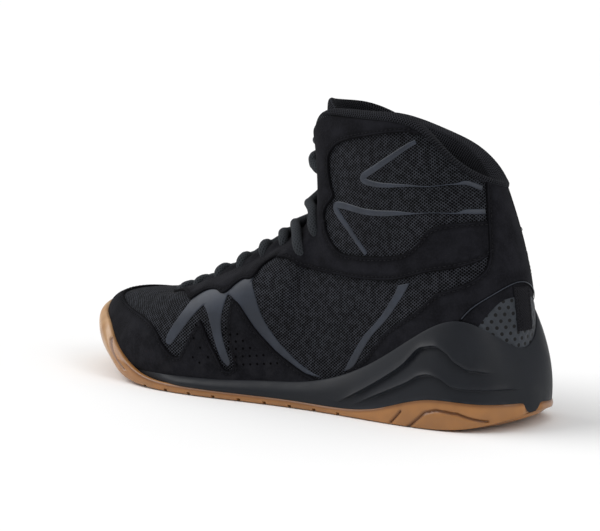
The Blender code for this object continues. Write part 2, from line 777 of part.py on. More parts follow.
def heel_counter(finish, home):
    """Suede backstay and lower rear quarters in one piece over the heel."""
    last = COUNTER_EDGE[-1].row
    u = rows(-last, last, SAMPLES)
    row = np.abs(u)
    above_patch = edge_share(PATCH_EDGE, row) + PANEL_GAP
    low = np.where(row < PATCH_EDGE[-1].row, np.maximum(above_patch, foot_share(u)), foot_share(u))
    return panel("heel_counter", *between(u, low, edge_share(COUNTER_EDGE, row), 4), finish, home, HEEL_SEAT)


def heel_patch(finish, home):
    """Grey piece between the counter and the dip of the cup."""
    u = rows(-PATCH_ROW, PATCH_ROW, 5)
    return panel("heel_patch", *between(u, foot_share(u), edge_share(PATCH_EDGE, np.abs(u)), 3), finish, home)


def heel_strip(finish, home):
    """Webbing down the back centre, over counter and patch."""
    u = rows(-STRIP_ROW, STRIP_ROW, 10)
    low, high = (np.full(len(u), share) for share in STRIP_SHARES)
    lift = HEEL_SEAT + OVERLAY + GAP
    return panel("heel_strip", *between(u, low, high, 4), finish, home, lift, STRIP)


# Lace

LACE_LIFT = SEAT_OF_OVERLAY + OVERLAY + 2 * GAP + LACE_RADIUS
LACE_OVER = 1.7 * MM
LACE_SPREAD = 0.22


def over_facing(place, spread, past_rim):
    """The lace's points over the eyelets of one side, from the toe up, or beside them past the rim."""
    u = place(np.array(EYELET_ROWS) + spread)
    return skin(u, 1 + past_rim / wall_length(u), np.full(len(u), LACE_LIFT))


def cord(name, points, finish, home):
    """A closed tube along points."""
    curve = bpy.data.curves.new(name, "CURVE")
    curve.dimensions = "3D"
    curve.bevel_depth = LACE_RADIUS
    curve.bevel_resolution = 2
    curve.use_fill_caps = True
    spline = curve.splines.new("POLY")
    spline.points.add(len(points) - 1)
    for target, point in zip(spline.points, points):
        target.co = (*point, 1.0)
    guide = bpy.data.objects.new(name + "_guide", curve)
    home.objects.link(guide)
    evaluated = guide.evaluated_get(bpy.context.evaluated_depsgraph_get())
    work = bmesh.new()
    work.from_mesh(bpy.data.meshes.new_from_object(evaluated))
    bmesh.ops.remove_doubles(work, verts=work.verts, dist=0.01 * MM)
    bpy.data.objects.remove(guide)
    return add_object(name, mesh_from(name, work), finish, home)


def lace(finish, home, cutters):
    """Two cords that cross from eyelet to eyelet, joined to the bar over the lowest pair."""
    sides = (lambda u: u, lambda u: ROWS - u)
    holes = [over_facing(place, 0, -EYELET_INSET) for place in sides]
    above = [over_facing(place, -LACE_SPREAD, TAB) for place in sides]
    below = [over_facing(place, LACE_SPREAD, TAB) for place in sides]
    crossings = (above[0][:-1] + above[1][:-1] + below[0][1:] + below[1][1:]) / 4
    u = (np.array(EYELET_ROWS[:-1]) + np.array(EYELET_ROWS[1:])) / 2
    front = wall_normal(u, 1.0) + wall_normal(ROWS - u, 1.0)
    front *= LACE_OVER / np.linalg.norm(front, axis=-1, keepdims=True)
    paths = []
    for first in (0, 1):
        path = [holes[first][0]]
        for k, crossing in enumerate(crossings):
            here, there = (first + k) % 2, (first + k + 1) % 2
            over = crossing + front[k] * (1 if first else -1)
            path += [above[here][k], over, below[there][k + 1], holes[there][k + 1]]
        paths.append(path)
    level = [over_facing(place, 0, TAB)[0] for place in sides]
    bar = [holes[0][0], level[0], (level[0] + level[1]) / 2, level[1], holes[1][0]]
    made = cord("lace", paths[0], finish, home)
    for number, points in enumerate((paths[1], bar)):
        other = cord(f"lace_run_{number}", points, finish, cutters)
        hide(other)
        join = made.modifiers.new("join", "BOOLEAN")
        join.operation = "UNION"
        join.object = other
    return made


def main():
    for old in list(bpy.data.objects):
        bpy.data.objects.remove(old)
    shoe = collection("boxing_shoe")
    cutters = collection("cutters")
    gum = material("gum_rubber", (0.52, 0.27, 0.10), 0.5)
    foam = material("charcoal_foam", (0.035, 0.042, 0.052), 0.55)
    board = material("insole_foam", (0.02, 0.02, 0.022), 0.9)
    mesh_cloth = material("mesh_cloth", (0.02, 0.021, 0.025), 0.9)
    suede = material("suede", (0.012, 0.011, 0.012), 0.95)
    grey = material("grey_patch", (0.07, 0.078, 0.09), 0.7)
    webbing = material("webbing", (0.011, 0.01, 0.011), 0.85)
    lace_cord = material("lace_cord", (0.015, 0.015, 0.017), 0.85)
    outsole(gum, shoe, cutters)
    midsole(foam, shoe)
    insole(board, shoe)
    upper(mesh_cloth, shoe)
    collar_lining(mesh_cloth, shoe)
    tongue(mesh_cloth, shoe)
    toe_cap(suede, shoe)
    for side, place in (("lateral", lambda u: u), ("medial", lambda u: ROWS - u)):
        side_panels(side, place, suede, shoe)
        eyestay(side, place, suede, shoe)
        ankle_band(side, place, suede, shoe)
    heel_counter(suede, shoe)
    heel_patch(grey, shoe)
    heel_strip(webbing, shoe)
    lace(lace_cord, shoe, cutters)


main()
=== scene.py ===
"""Looks of a mid-cut boxing shoe for the left foot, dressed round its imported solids.

The shoe's last is described by sections round the shoe. A row number u goes from the heel (0) along the
outer side to the toe (12) and back along the inner side to the heel (24). A share t runs up the wall of each
section from its foot at the sole (0) to the top line of collar and throat (1). Every sewn piece is cut to an
outline of rows and shares and laid on the last, so that all of them follow the same form.
"""

import logging
import math
from dataclasses import dataclass, field
from enum import Enum
from functools import cached_property
from typing import Callable, NamedTuple, Sequence

import bpy
import numpy as np
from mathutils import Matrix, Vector
from mathutils.geometry import delaunay_2d_cdt


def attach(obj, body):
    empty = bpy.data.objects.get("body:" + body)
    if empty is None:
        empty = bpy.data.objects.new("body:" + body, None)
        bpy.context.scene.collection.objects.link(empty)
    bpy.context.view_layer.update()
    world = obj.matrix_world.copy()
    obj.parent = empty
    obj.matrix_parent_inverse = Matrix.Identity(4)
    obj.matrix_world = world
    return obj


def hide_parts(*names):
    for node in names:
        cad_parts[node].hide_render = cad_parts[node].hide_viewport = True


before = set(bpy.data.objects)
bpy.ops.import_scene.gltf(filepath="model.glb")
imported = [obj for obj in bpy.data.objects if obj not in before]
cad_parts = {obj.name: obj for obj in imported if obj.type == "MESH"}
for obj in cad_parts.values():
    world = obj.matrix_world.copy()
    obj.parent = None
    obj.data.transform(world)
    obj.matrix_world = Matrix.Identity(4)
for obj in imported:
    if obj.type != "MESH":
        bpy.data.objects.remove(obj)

Array = np.ndarray
Colour = tuple[float, float, float]
Point2 = tuple[float, float]
Socket = bpy.types.NodeSocket
Piece = bpy.types.Object
Material = bpy.types.Material
Node = bpy.types.Node
Tree = bpy.types.NodeTree

MM = 0.001
ROOT = "root"
LOG = logging.getLogger("boxing_shoe")


class Side(Enum):
    """The two sides of the shoe."""

    LATERAL = "lateral"
    MEDIAL = "medial"

    def place(self, u: Array) -> Array:
        """Row numbers of the lateral side, moved to this side."""
        return u if self is Side.LATERAL else ROWS - u


# The last: the same short tables as the solids


class SoleRow(NamedTuple):
    """The sole at one section: shares of length and width, then heights in millimetres."""

    along: float
    side: float
    floor: float
    gum: float
    cup: float
    high: float
    low: float
    seat: float


class WallRow(NamedTuple):
    """The wall at one section: its rim in shares, then its handles in millimetres."""

    inset: float
    rim_along: float
    rim_side: float
    rim_height: float
    rise: float
    flare: float
    drop: float
    roll: float
    back: float


SOLE = [
    SoleRow(-0.0125, 0.0, 7.5, 12.5, 40.0, 30.0, 23.0, 19.0),
    SoleRow(0.037, 0.299, 2.5, 14.0, 53.5, 32.0, 20.5, 19.0),
    SoleRow(0.128, 0.394, 0.0, 14.5, 49.5, 41.0, 25.5, 18.5),
    SoleRow(0.224, 0.409, 0.0, 7.0, 33.0, 22.0, 13.0, 17.5),
    SoleRow(0.314, 0.404, 0.0, 3.6, 20.5, 10.5, 7.0, 15.5),
    SoleRow(0.4, 0.409, 0.0, 3.6, 14.0, 9.0, 6.0, 12.5),
    SoleRow(0.486, 0.434, 0.0, 3.6, 11.8, 8.5, 6.0, 10.0),
    SoleRow(0.576, 0.475, 0.0, 3.6, 9.8, 7.6, 5.6, 8.6),
    SoleRow(0.672, 0.5, 0.0, 3.9, 8.8, 7.0, 5.3, 7.8),
    SoleRow(0.783, 0.465, 1.4, 8.6, 8.8, 7.4, 6.2, 7.8),
    SoleRow(0.897, 0.313, 7.5, 24.4, 14.2, 13.0, 12.0, 13.4),
    SoleRow(0.959, 0.131, 14.0, 29.4, 20.4, 19.2, 18.3, 19.6),
    SoleRow(1.0, -0.091, 18.0, 31.4, 24.6, 23.4, 22.4, 23.8),
    SoleRow(0.979, -0.293, 15.0, 29.4, 21.4, 20.2, 19.2, 20.6),
    SoleRow(0.914, -0.434, 9.0, 24.6, 15.4, 14.2, 13.2, 14.6),
    SoleRow(0.797, -0.5, 1.8, 9.0, 9.4, 8.0, 6.8, 8.4),
    SoleRow(0.686, -0.495, 0.0, 4.1, 9.2, 7.2, 5.5, 8.0),
    SoleRow(0.586, -0.439, 0.8, 4.6, 12.0, 9.0, 6.6, 9.4),
    SoleRow(0.486, -0.379, 2.4, 6.4, 16.0, 12.0, 9.0, 11.6),
    SoleRow(0.4, -0.348, 2.8, 7.0, 19.0, 14.0, 10.4, 14.0),
    SoleRow(0.314, -0.343, 1.6, 7.0, 25.0, 16.0, 11.4, 16.5),
    SoleRow(0.224, -0.359, 0.2, 9.0, 36.0, 24.0, 15.0, 17.8),
    SoleRow(0.128, -0.364, 0.0, 14.5, 50.0, 40.0, 25.5, 18.5),
    SoleRow(0.0295, -0.315, 4.0, 9.5, 56.0, 32.0, 20.5, 19.0),
]
WALLS = [
    WallRow(10.5, 0.07, 0.0, 0.782, 30, 6.5, 35, 12, 0),
    WallRow(7.0, 0.106, 0.202, 0.853, 34, 4, 40, 6.5, 0),
    WallRow(6.5, 0.169, 0.303, 0.971, 40, 2, 45, 0, 0),
    WallRow(6.0, 0.259, 0.333, 1.0, 45, 1, 45, 0, 0),
    WallRow(5.5, 0.383, 0.255, 1.0, 45, 2, 36, 8, 6),
    WallRow(5.0, 0.431, 0.16, 0.873, 44, 3, 24, 14, 22),
    WallRow(5.0, 0.428, 0.152, 0.723, 40, 4, 14, 20, 20),
    WallRow(5.0, 0.479, 0.152, 0.59, 34, 5, 8, 24, 8),
    WallRow(5.0, 0.559, 0.146, 0.498, 30, 5, 6, 25, 3),
    WallRow(5.0, 0.641, 0.136, 0.414, 24, 5, 3, 24, 0),
    WallRow(4.8, 0.717, 0.106, 0.336, 17, 3, 0, 26, 0),
    WallRow(4.6, 0.757, 0.061, 0.302, 13, 3, -1, 36, 0),
    WallRow(4.6, 0.769, -0.02, 0.294, 11, 3.8, -1.5, 45, 0),
    WallRow(4.6, 0.757, -0.091, 0.296, 13, 3.8, 0, 38, 0),
    WallRow(4.8, 0.717, -0.136, 0.332, 18, 3, 0, 28, 0),
    WallRow(5.0, 0.641, -0.162, 0.41, 26, 5, 3, 26, 0),
    WallRow(5.0, 0.559, -0.172, 0.495, 32, 4, 6, 24, 3),
    WallRow(5.0, 0.479, -0.172, 0.586, 38, 3, 8, 22, 8),
    WallRow(5.0, 0.428, -0.172, 0.723, 44, 2, 14, 18, 20),
    WallRow(5.0, 0.431, -0.182, 0.86, 46, 2, 24, 13, 20),
    WallRow(5.5, 0.383, -0.248, 0.964, 45, 2, 36, 7, 6),
    WallRow(6.0, 0.259, -0.293, 0.922, 45, 1, 42, 0, 0),
    WallRow(6.5, 0.169, -0.273, 0.86, 40, 2, 42, 1, 0),
    WallRow(10.8, 0.105, -0.194, 0.779, 34, 3, 38, 10, 0),
]
ROWS = len(SOLE)
TOE = ROWS // 2


def periodic_spline(knots: Array) -> Callable[[Array], Array]:
    """A closed smooth curve through knots.

    Args:
        knots: One value or point for each row.

    Returns:
        The curve as a function of the row number.
    """
    knots = np.asarray(knots, float)
    count = len(knots)
    bends = 4 * np.eye(count) + np.roll(np.eye(count), 1, axis=1) + np.roll(np.eye(count), -1, axis=1)
    turn = 6 * (np.roll(knots, -1, axis=0) - 2 * knots + np.roll(knots, 1, axis=0))
    curve = np.linalg.solve(bends, turn)

    def at(u: Array) -> Array:
        """The curve's value at rows u."""
        u = np.mod(np.asarray(u, float), count)
        low = np.floor(u).astype(int) % count
        high = (low + 1) % count
        f = (u - np.floor(u)).reshape(u.shape + (1,) * (knots.ndim - 1))
        line = knots[low] * (1 - f) + knots[high] * f
        return line + ((1 - f) ** 3 - (1 - f)) * curve[low] / 6 + (f**3 - f) * curve[high] / 6

    return at


def unit(vectors: Array) -> Array:
    """Vectors brought to a length of 1."""
    return vectors / np.linalg.norm(vectors, axis=-1, keepdims=True)


def run_of(places: Array) -> Array:
    """The length along a line up to each of its places."""
    return np.append(0, np.cumsum(np.linalg.norm(np.diff(places, axis=0), axis=1)))


def smooth_step(low: float, high: float, value: Array) -> Array:
    """A soft step from 0 at low to 1 at high."""
    share = np.clip((np.asarray(value, float) - low) / (high - low), 0, 1)
    return share * share * (3 - 2 * share)


def rounded(points: Sequence[Sequence[float]], parts: int) -> Array:
    """Points on a smooth open curve through given points.

    Args:
        points: The points that the curve passes.
        parts: How many steps each span gets.

    Returns:
        The curve's points, ends included.
    """
    points = np.asarray(points, float)
    ends = np.vstack([2 * points[0] - points[1], points, 2 * points[-1] - points[-2]])
    f = (np.arange(parts) / parts)[:, None]
    made = []
    for before, start, end, after in zip(ends, ends[1:], ends[2:], ends[3:]):
        square = 2 * before - 5 * start + 4 * end - after
        cube = 3 * (start - end) + after - before
        made.append(start + 0.5 * ((end - before) * f + square * f**2 + cube * f**3))
    return np.vstack([*made, points[-1:]])


def evenly(points: Array, places: Array, spacing: float) -> Array:
    """Values along a line, taken at even steps of its length.

    Args:
        points: Values to be taken, one for each place.
        places: Places of the line in space.
        spacing: The step wanted, in metres.

    Returns:
        The values at even steps, ends included.
    """
    run = run_of(places)
    stops = np.linspace(0, run[-1], max(2, round(run[-1] / spacing) + 1))
    return np.stack([np.interp(stops, run, column) for column in points.T], axis=1)


def nearest(places: Array, line: Array) -> Array:
    """The distance from each place to the nearest point of a line."""
    return np.array([np.linalg.norm(line - place, axis=1).min() for place in places])


def mirrored(run: Sequence[Point2], about: float = 0.0) -> tuple[Point2, ...]:
    """A line of rows and shares, mirrored about half of a row number and turned round."""
    return tuple((about - u, t) for u, t in run[::-1])


@dataclass(frozen=True)
class Crease:
    """A soft trough or ridge across the wall, in the shoe's own sizes."""

    start: Point2  # Row and share of one end
    end: Point2  # Row and share of the other end
    width: float  # Half of its width
    depth: float  # How deep it lies. A ridge has a negative depth


@dataclass(frozen=True)
class Swell:
    """Padding under the wall: a low dome round a place."""

    middle: Point2  # Row and share of its top
    reach: Point2  # Rows and shares to where it ends
    height: float  # How far it stands out


@dataclass(frozen=True)
class Last:
    """The form that every piece of the shoe lies on."""

    length: float = 290 * MM  # Length of the sole
    middle: float = 0.49376  # The share of the length that stands over the origin
    ball_width: float = 99 * MM  # Width of the sole at the ball
    collar_height: float = 153.5 * MM  # Height of the collar's highest row
    gap: float = 0.35 * MM  # Clearance between the solids
    row_steps: int = 24  # Samples kept between two rows
    share_steps: int = 200  # Samples kept up the wall
    past: float = 1.2  # The share past the rim to which the wall is kept, for tabs
    creases: tuple[Crease, ...] = ()  # Troughs and ridges pressed into the wall
    swells: tuple[Swell, ...] = ()  # Padded places of the wall

    def column(self, table: Sequence[NamedTuple], name: str) -> Callable[[Array], Array]:
        """A column of a table in metres, as a smooth function of the row."""
        return periodic_spline([getattr(row, name) * MM for row in table])

    @cached_property
    def edge(self) -> Callable[[Array], Array]:
        """The sole's edge seen from above."""
        length, width = self.length, self.ball_width
        return periodic_spline([((r.along - self.middle) * length, r.side * width) for r in SOLE])

    @cached_property
    def rim(self) -> Callable[[Array], Array]:
        """The top line of collar and throat."""
        length, width, height = self.length, self.ball_width, self.collar_height
        return periodic_spline(
            [((r.rim_along - self.middle) * length, r.rim_side * width, r.rim_height * height) for r in WALLS]
        )

    @cached_property
    def heights(self) -> dict[str, Callable[[Array], Array]]:
        """The sole's heights by name."""
        return {name: self.column(SOLE, name) for name in SoleRow._fields[2:]}

    @cached_property
    def inset(self) -> Callable[[Array], Array]:
        """The step from the sole's edge in to the wall's foot."""
        return self.column(WALLS, "inset")

    def floor(self, u: Array) -> Array:
        """The underside's height, never under the floor."""
        return np.maximum(self.heights["floor"](u), 0)

    def outward(self, u: Array) -> Array:
        """The level direction that points out of the shoe at the sole's edge.

        Args:
            u: Rows.

        Returns:
            A direction for each row.
        """
        step = 1e-3
        run = self.edge(u + step) - self.edge(u - step)
        out = np.stack([-run[..., 1], run[..., 0], np.zeros(run.shape[:-1])], axis=-1)
        return unit(out)

    def edge_point(self, u: Array, inset: Array, height: Array) -> Array:
        """Points inset from the sole's edge, at a height.

        Args:
            u: Rows.
            inset: Distance in from the edge.
            height: Their height.

        Returns:
            The points.
        """
        u, inset, height = np.broadcast_arrays(u, inset, height)
        flat = np.concatenate([self.edge(u), height[..., None]], axis=-1)
        return flat - self.outward(u) * inset[..., None]

    def handles(self, u: Array) -> Array:
        """The four control points of the wall's section at rows u.

        Args:
            u: Rows.

        Returns:
            The points, by their order in the section and by row.
        """
        names = ("rise", "flare", "drop", "roll", "back")
        size = {name: self.column(WALLS, name)(u)[:, None] for name in names}
        up, forward = np.array([0.0, 0.0, 1.0]), np.array([1.0, 0.0, 0.0])
        out, rim = self.outward(u), self.rim(u)
        foot = self.edge_point(u, self.inset(u), self.heights["seat"](u) + self.gap)
        first = foot + up * size["rise"] + out * size["flare"]
        second = rim - up * size["drop"] + out * size["roll"] - forward * size["back"]
        return np.stack([foot, first, second, rim])

    @cached_property
    def grid(self) -> Array:
        """The bare wall on a fine grid of rows and shares."""
        u = np.arange(ROWS * self.row_steps) / self.row_steps
        points = self.handles(u)[:, :, None]
        f = np.linspace(0, 1, 129)[None, :, None]
        curve = points[0] * (1 - f) ** 3 + 3 * points[1] * f * (1 - f) ** 2 + 3 * points[2] * f**2 * (1 - f)
        curve = curve + points[3] * f**3
        shares = np.linspace(0, self.past, self.share_steps + 1)
        rows = []
        for line in curve:
            run = run_of(line)
            inside = np.minimum(shares, 1) * run[-1]
            row = np.stack([np.interp(inside, run, axis) for axis in line.T], axis=1)
            rows.append(row + unit(line[-1] - line[-2]) * (np.maximum(shares - 1, 0) * run[-1])[:, None])
        return np.array(rows)

    @cached_property
    def normals(self) -> Array:
        """The wall's outward normals on the fine grid."""
        along = np.roll(self.grid, -2, axis=0) - np.roll(self.grid, 2, axis=0)
        upward = np.gradient(self.grid, axis=1)
        return unit(np.cross(upward, along))

    def sample(self, field_: Array, u: Array, t: Array) -> Array:
        """Values of a fine grid between its samples.

        Args:
            field_: Values for each row and share of the fine grid.
            u: Rows.
            t: Shares, of the same shape.

        Returns:
            The values there.
        """
        x = np.mod(u, ROWS) * self.row_steps
        y = np.clip(t / self.past, 0, 1) * self.share_steps
        i, j = np.floor(x).astype(int), np.minimum(np.floor(y).astype(int), self.share_steps - 1)
        fx, fy = (x - i)[..., None], (y - j)[..., None]
        count = len(field_)
        i0, i1 = i % count, (i + 1) % count
        low = field_[i0, j] * (1 - fx) + field_[i1, j] * fx
        high = field_[i0, j + 1] * (1 - fx) + field_[i1, j + 1] * fx
        return low * (1 - fy) + high * fy

    def bare(self, line: Array) -> Array:
        """Places of rows and shares on the bare wall."""
        return self.sample(self.grid, line[:, 0], line[:, 1])

    def on(self, line: Array, lift: Array | float) -> Array:
        """Places of rows and shares, lifted off the wall with its creases and padding."""
        return self.skin(line[:, 0], line[:, 1], lift)

    def facing(self, line: Array) -> Array:
        """The wall's outward normals at rows and shares."""
        return self.normal(line[:, 0], line[:, 1])

    def relief(self, u: Array, t: Array) -> Array:
        """How far creases and padding lift the wall off its plain form.

        Args:
            u: Rows.
            t: Shares.

        Returns:
            The lift at each.
        """
        lift = np.zeros(np.broadcast(u, t).shape)
        for swell in self.swells:
            for middle in (swell.middle[0], ROWS - swell.middle[0]):
                away = (np.mod(u - middle + TOE, ROWS) - TOE) / swell.reach[0]
                far = np.clip(1 - away**2 - ((t - swell.middle[1]) / swell.reach[1]) ** 2, 0, 1)
                lift += swell.height * far**2 * (3 - 2 * far)
        place = self.sample(self.grid, np.asarray(u, float), np.asarray(t, float)) if self.creases else None
        for crease in self.creases:
            ends = np.array([crease.start, crease.end])
            for rows in (ends[:, 0], ROWS - ends[:, 0]):
                start, end = self.sample(self.grid, rows, ends[:, 1])
                line = end - start
                along = np.clip(((place - start) @ line) / (line @ line), 0, 1)
                away = np.linalg.norm(place - start - along[..., None] * line, axis=-1) / crease.width
                ending = np.sin(np.pi * np.clip(along, 0.0, 1.0)) ** 0.5
                lift -= crease.depth * np.exp(-(away**2)) * ending
        return lift

    def skin(self, u: Array, t: Array, lift: Array | float = 0.0) -> Array:
        """Points lifted off the wall, its creases and padding counted in.

        Args:
            u: Rows.
            t: Shares.
            lift: Distance off the wall.

        Returns:
            The points.
        """
        u, t = np.broadcast_arrays(np.asarray(u, float), np.asarray(t, float))
        total = self.relief(u, t) + lift
        return self.sample(self.grid, u, t) + self.normal(u, t) * total[..., None]

    def normal(self, u: Array, t: Array) -> Array:
        """The wall's outward normal."""
        u, t = np.broadcast_arrays(np.asarray(u, float), np.asarray(t, float))
        return unit(self.sample(self.normals, u, t))

    def run(self, u: Array) -> Array:
        """The length of the wall's section from foot to rim.

        Args:
            u: Rows.

        Returns:
            A length for each row.
        """
        stop = round(self.share_steps / self.past)
        lengths = np.linalg.norm(np.diff(self.grid[:, : stop + 1], axis=1), axis=-1).sum(axis=1)
        lengths = np.append(lengths, lengths[0])
        return np.interp(np.mod(u, ROWS) * self.row_steps, np.arange(len(lengths)), lengths)

    def share_at(self, u: Array, height: Array) -> Array:
        """The share at which the wall passes a height, near its foot.

        Args:
            u: Rows.
            height: A height for each row.

        Returns:
            A share for each row.
        """
        shares = np.linspace(0, 0.7, 141)
        lines = self.sample(self.grid, *np.meshgrid(u, shares, indexing="ij"))
        heights = np.maximum.accumulate(lines[..., 2], axis=1)
        return np.array([np.interp(h, line, shares) for h, line in zip(height, heights)])

    def jacobian(self, u: Array, t: Array) -> tuple[Array, Array]:
        """The wall's change along a row and along a share.

        Args:
            u: Rows.
            t: Shares.

        Returns:
            The change for a whole row, and for the whole wall.
        """
        step = 0.02
        along = (self.sample(self.grid, u + step, t) - self.sample(self.grid, u - step, t)) / (2 * step)
        upward = self.sample(self.grid, u, t + step) - self.sample(self.grid, u, np.maximum(t - step, 0))
        return along, upward / (step + np.minimum(step, t))[..., None]


# Small jobs that every piece goes through


def select_only(piece: Piece) -> None:
    """Selects one object and makes it the active one.

    Args:
        piece: The object.
    """
    bpy.ops.object.select_all(action="DESELECT")
    piece.select_set(True)
    bpy.context.view_layer.objects.active = piece


def modify(piece: Piece, kind: str, **settings: object) -> Piece:
    """Adds a modifier with settings and applies it.

    Args:
        piece: The object.
        kind: The modifier's type.
        **settings: Its values.

    Returns:
        The same object.
    """
    select_only(piece)
    made = piece.modifiers.new(kind.lower(), kind)
    for name, value in settings.items():
        setattr(made, name, value)
    bpy.ops.object.modifier_apply(modifier=made.name)
    return piece


def settle(piece: Piece) -> Piece:
    """Puts an object's place into its mesh.

    Args:
        piece: The object.

    Returns:
        The same object.
    """
    select_only(piece)
    bpy.ops.object.transform_apply(location=True, rotation=True, scale=True)
    return piece


def joined(pieces: Sequence[Piece], name: str) -> Piece:
    """Joins objects into one mesh with a name.

    Args:
        pieces: The objects.
        name: The name of the whole.

    Returns:
        The whole.
    """
    bpy.ops.object.select_all(action="DESELECT")
    for piece in pieces:
        piece.select_set(True)
    bpy.context.view_layer.objects.active = pieces[0]
    bpy.ops.object.join()
    pieces[0].name = name
    pieces[0].data.name = name
    return pieces[0]


def smoothed(piece: Piece, degrees: float = 180.0) -> Piece:
    """Shades an object smooth, with edges kept sharp over an angle.

    Args:
        piece: The object.
        degrees: The angle.

    Returns:
        The same object.
    """
    select_only(piece)
    if degrees >= 180:
        bpy.ops.object.shade_smooth()
    else:
        bpy.ops.object.shade_smooth_by_angle(angle=math.radians(degrees))
    return piece


def mesh_piece(name: str, points: Array, faces: Sequence[Sequence[int]]) -> Piece:
    """An object from points and faces.

    Args:
        name: Its name.
        points: Its points.
        faces: Its faces, as numbers of points.

    Returns:
        The new object.
    """
    mesh = bpy.data.meshes.new(name)
    mesh.from_pydata(points.reshape(-1, 3).tolist(), [], [list(map(int, face)) for face in faces])
    mesh.update()
    piece = bpy.data.objects.new(name, mesh)
    bpy.context.scene.collection.objects.link(piece)
    return piece


def point_values(piece: Piece, name: str, values: Array) -> None:
    """Gives a piece's points a named value each."""
    piece.data.attributes.new(name, "FLOAT", "POINT").data.foreach_set("value", values.astype(np.float32))


def edit_all(piece: Piece, operator: Callable[..., object], **settings: object) -> Piece:
    """Runs an operator on the whole of a piece in edit mode.

    Args:
        piece: The object.
        operator: The operator.
        **settings: Its values.

    Returns:
        The same object.
    """
    select_only(piece)
    bpy.ops.object.mode_set(mode="EDIT")
    bpy.ops.mesh.select_all(action="SELECT")
    operator(**settings)
    bpy.ops.object.mode_set(mode="OBJECT")
    return piece


def face_out(piece: Piece) -> Piece:
    """Turns all faces of a closed piece outwards."""
    return edit_all(piece, bpy.ops.mesh.normals_make_consistent, inside=False)


def flat_map(piece: Piece, flat: Array, by_corner: bool = False) -> None:
    """Gives a piece its flat map.

    Args:
        piece: The object.
        flat: A flat place for each point, or for each corner of each face.
        by_corner: Whether the places are those of corners.
    """
    flat = flat.reshape(-1, 2)
    if not by_corner:
        index = np.empty(len(piece.data.loops), np.int32)
        piece.data.loops.foreach_get("vertex_index", index)
        flat = flat[index]
    layer = piece.data.uv_layers.new(name="UVMap")
    layer.data.foreach_set("uv", flat.astype(np.float32).ravel())


def hose_faces(count: int, around: int) -> list[list[int]]:
    """Faces of a hose with both ends closed.

    Args:
        count: How many rings of points it has.
        around: How many points a ring has.

    Returns:
        The faces, as numbers of points.
    """
    i, j = np.meshgrid(np.arange(count - 1) * around, np.arange(around), indexing="ij")
    k = (j + 1) % around
    faces = np.stack([i + j, i + k, i + around + k, i + around + j], axis=-1).reshape(-1, 4).tolist()
    return faces + [list(range(around))[::-1], list(range((count - 1) * around, count * around))]


def grid_piece(name: str, points: Array, wrap: bool = False, uv: Array | None = None) -> Piece:
    """A sheet through a grid of points, its front towards the outside of the shoe.

    Args:
        name: The piece's name.
        points: Points by row and share.
        wrap: Whether the last row meets the first.
        uv: A flat place for each point.

    Returns:
        The new object.
    """
    count, depth = points.shape[:2]
    i, j = np.meshgrid(np.arange(count if wrap else count - 1), np.arange(depth - 1), indexing="ij")
    near, far = i * depth + j, (i + 1) % count * depth + j
    piece = mesh_piece(name, points, np.stack([near, near + 1, far + 1, far], axis=-1).reshape(-1, 4))
    if uv is not None:
        flat_map(piece, uv)
    return piece


def finished(piece: Piece, material: Material, slot: str, *nodes: str) -> Piece:
    """Gives a piece its material and body, and hides the solids it stands for.

    Args:
        piece: The object.
        material: Its finish.
        slot: Its slot.
        *nodes: Names of the solids.

    Returns:
        The same object.
    """
    piece.data.materials.clear()
    piece.data.materials.append(material)
    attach(piece, ROOT)
    if nodes:
        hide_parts(*nodes)
    LOG.info("%s: %d faces", piece.name, len(piece.data.polygons))
    return piece


# Shading: a small way to write node trees, shared groups, and the finishes


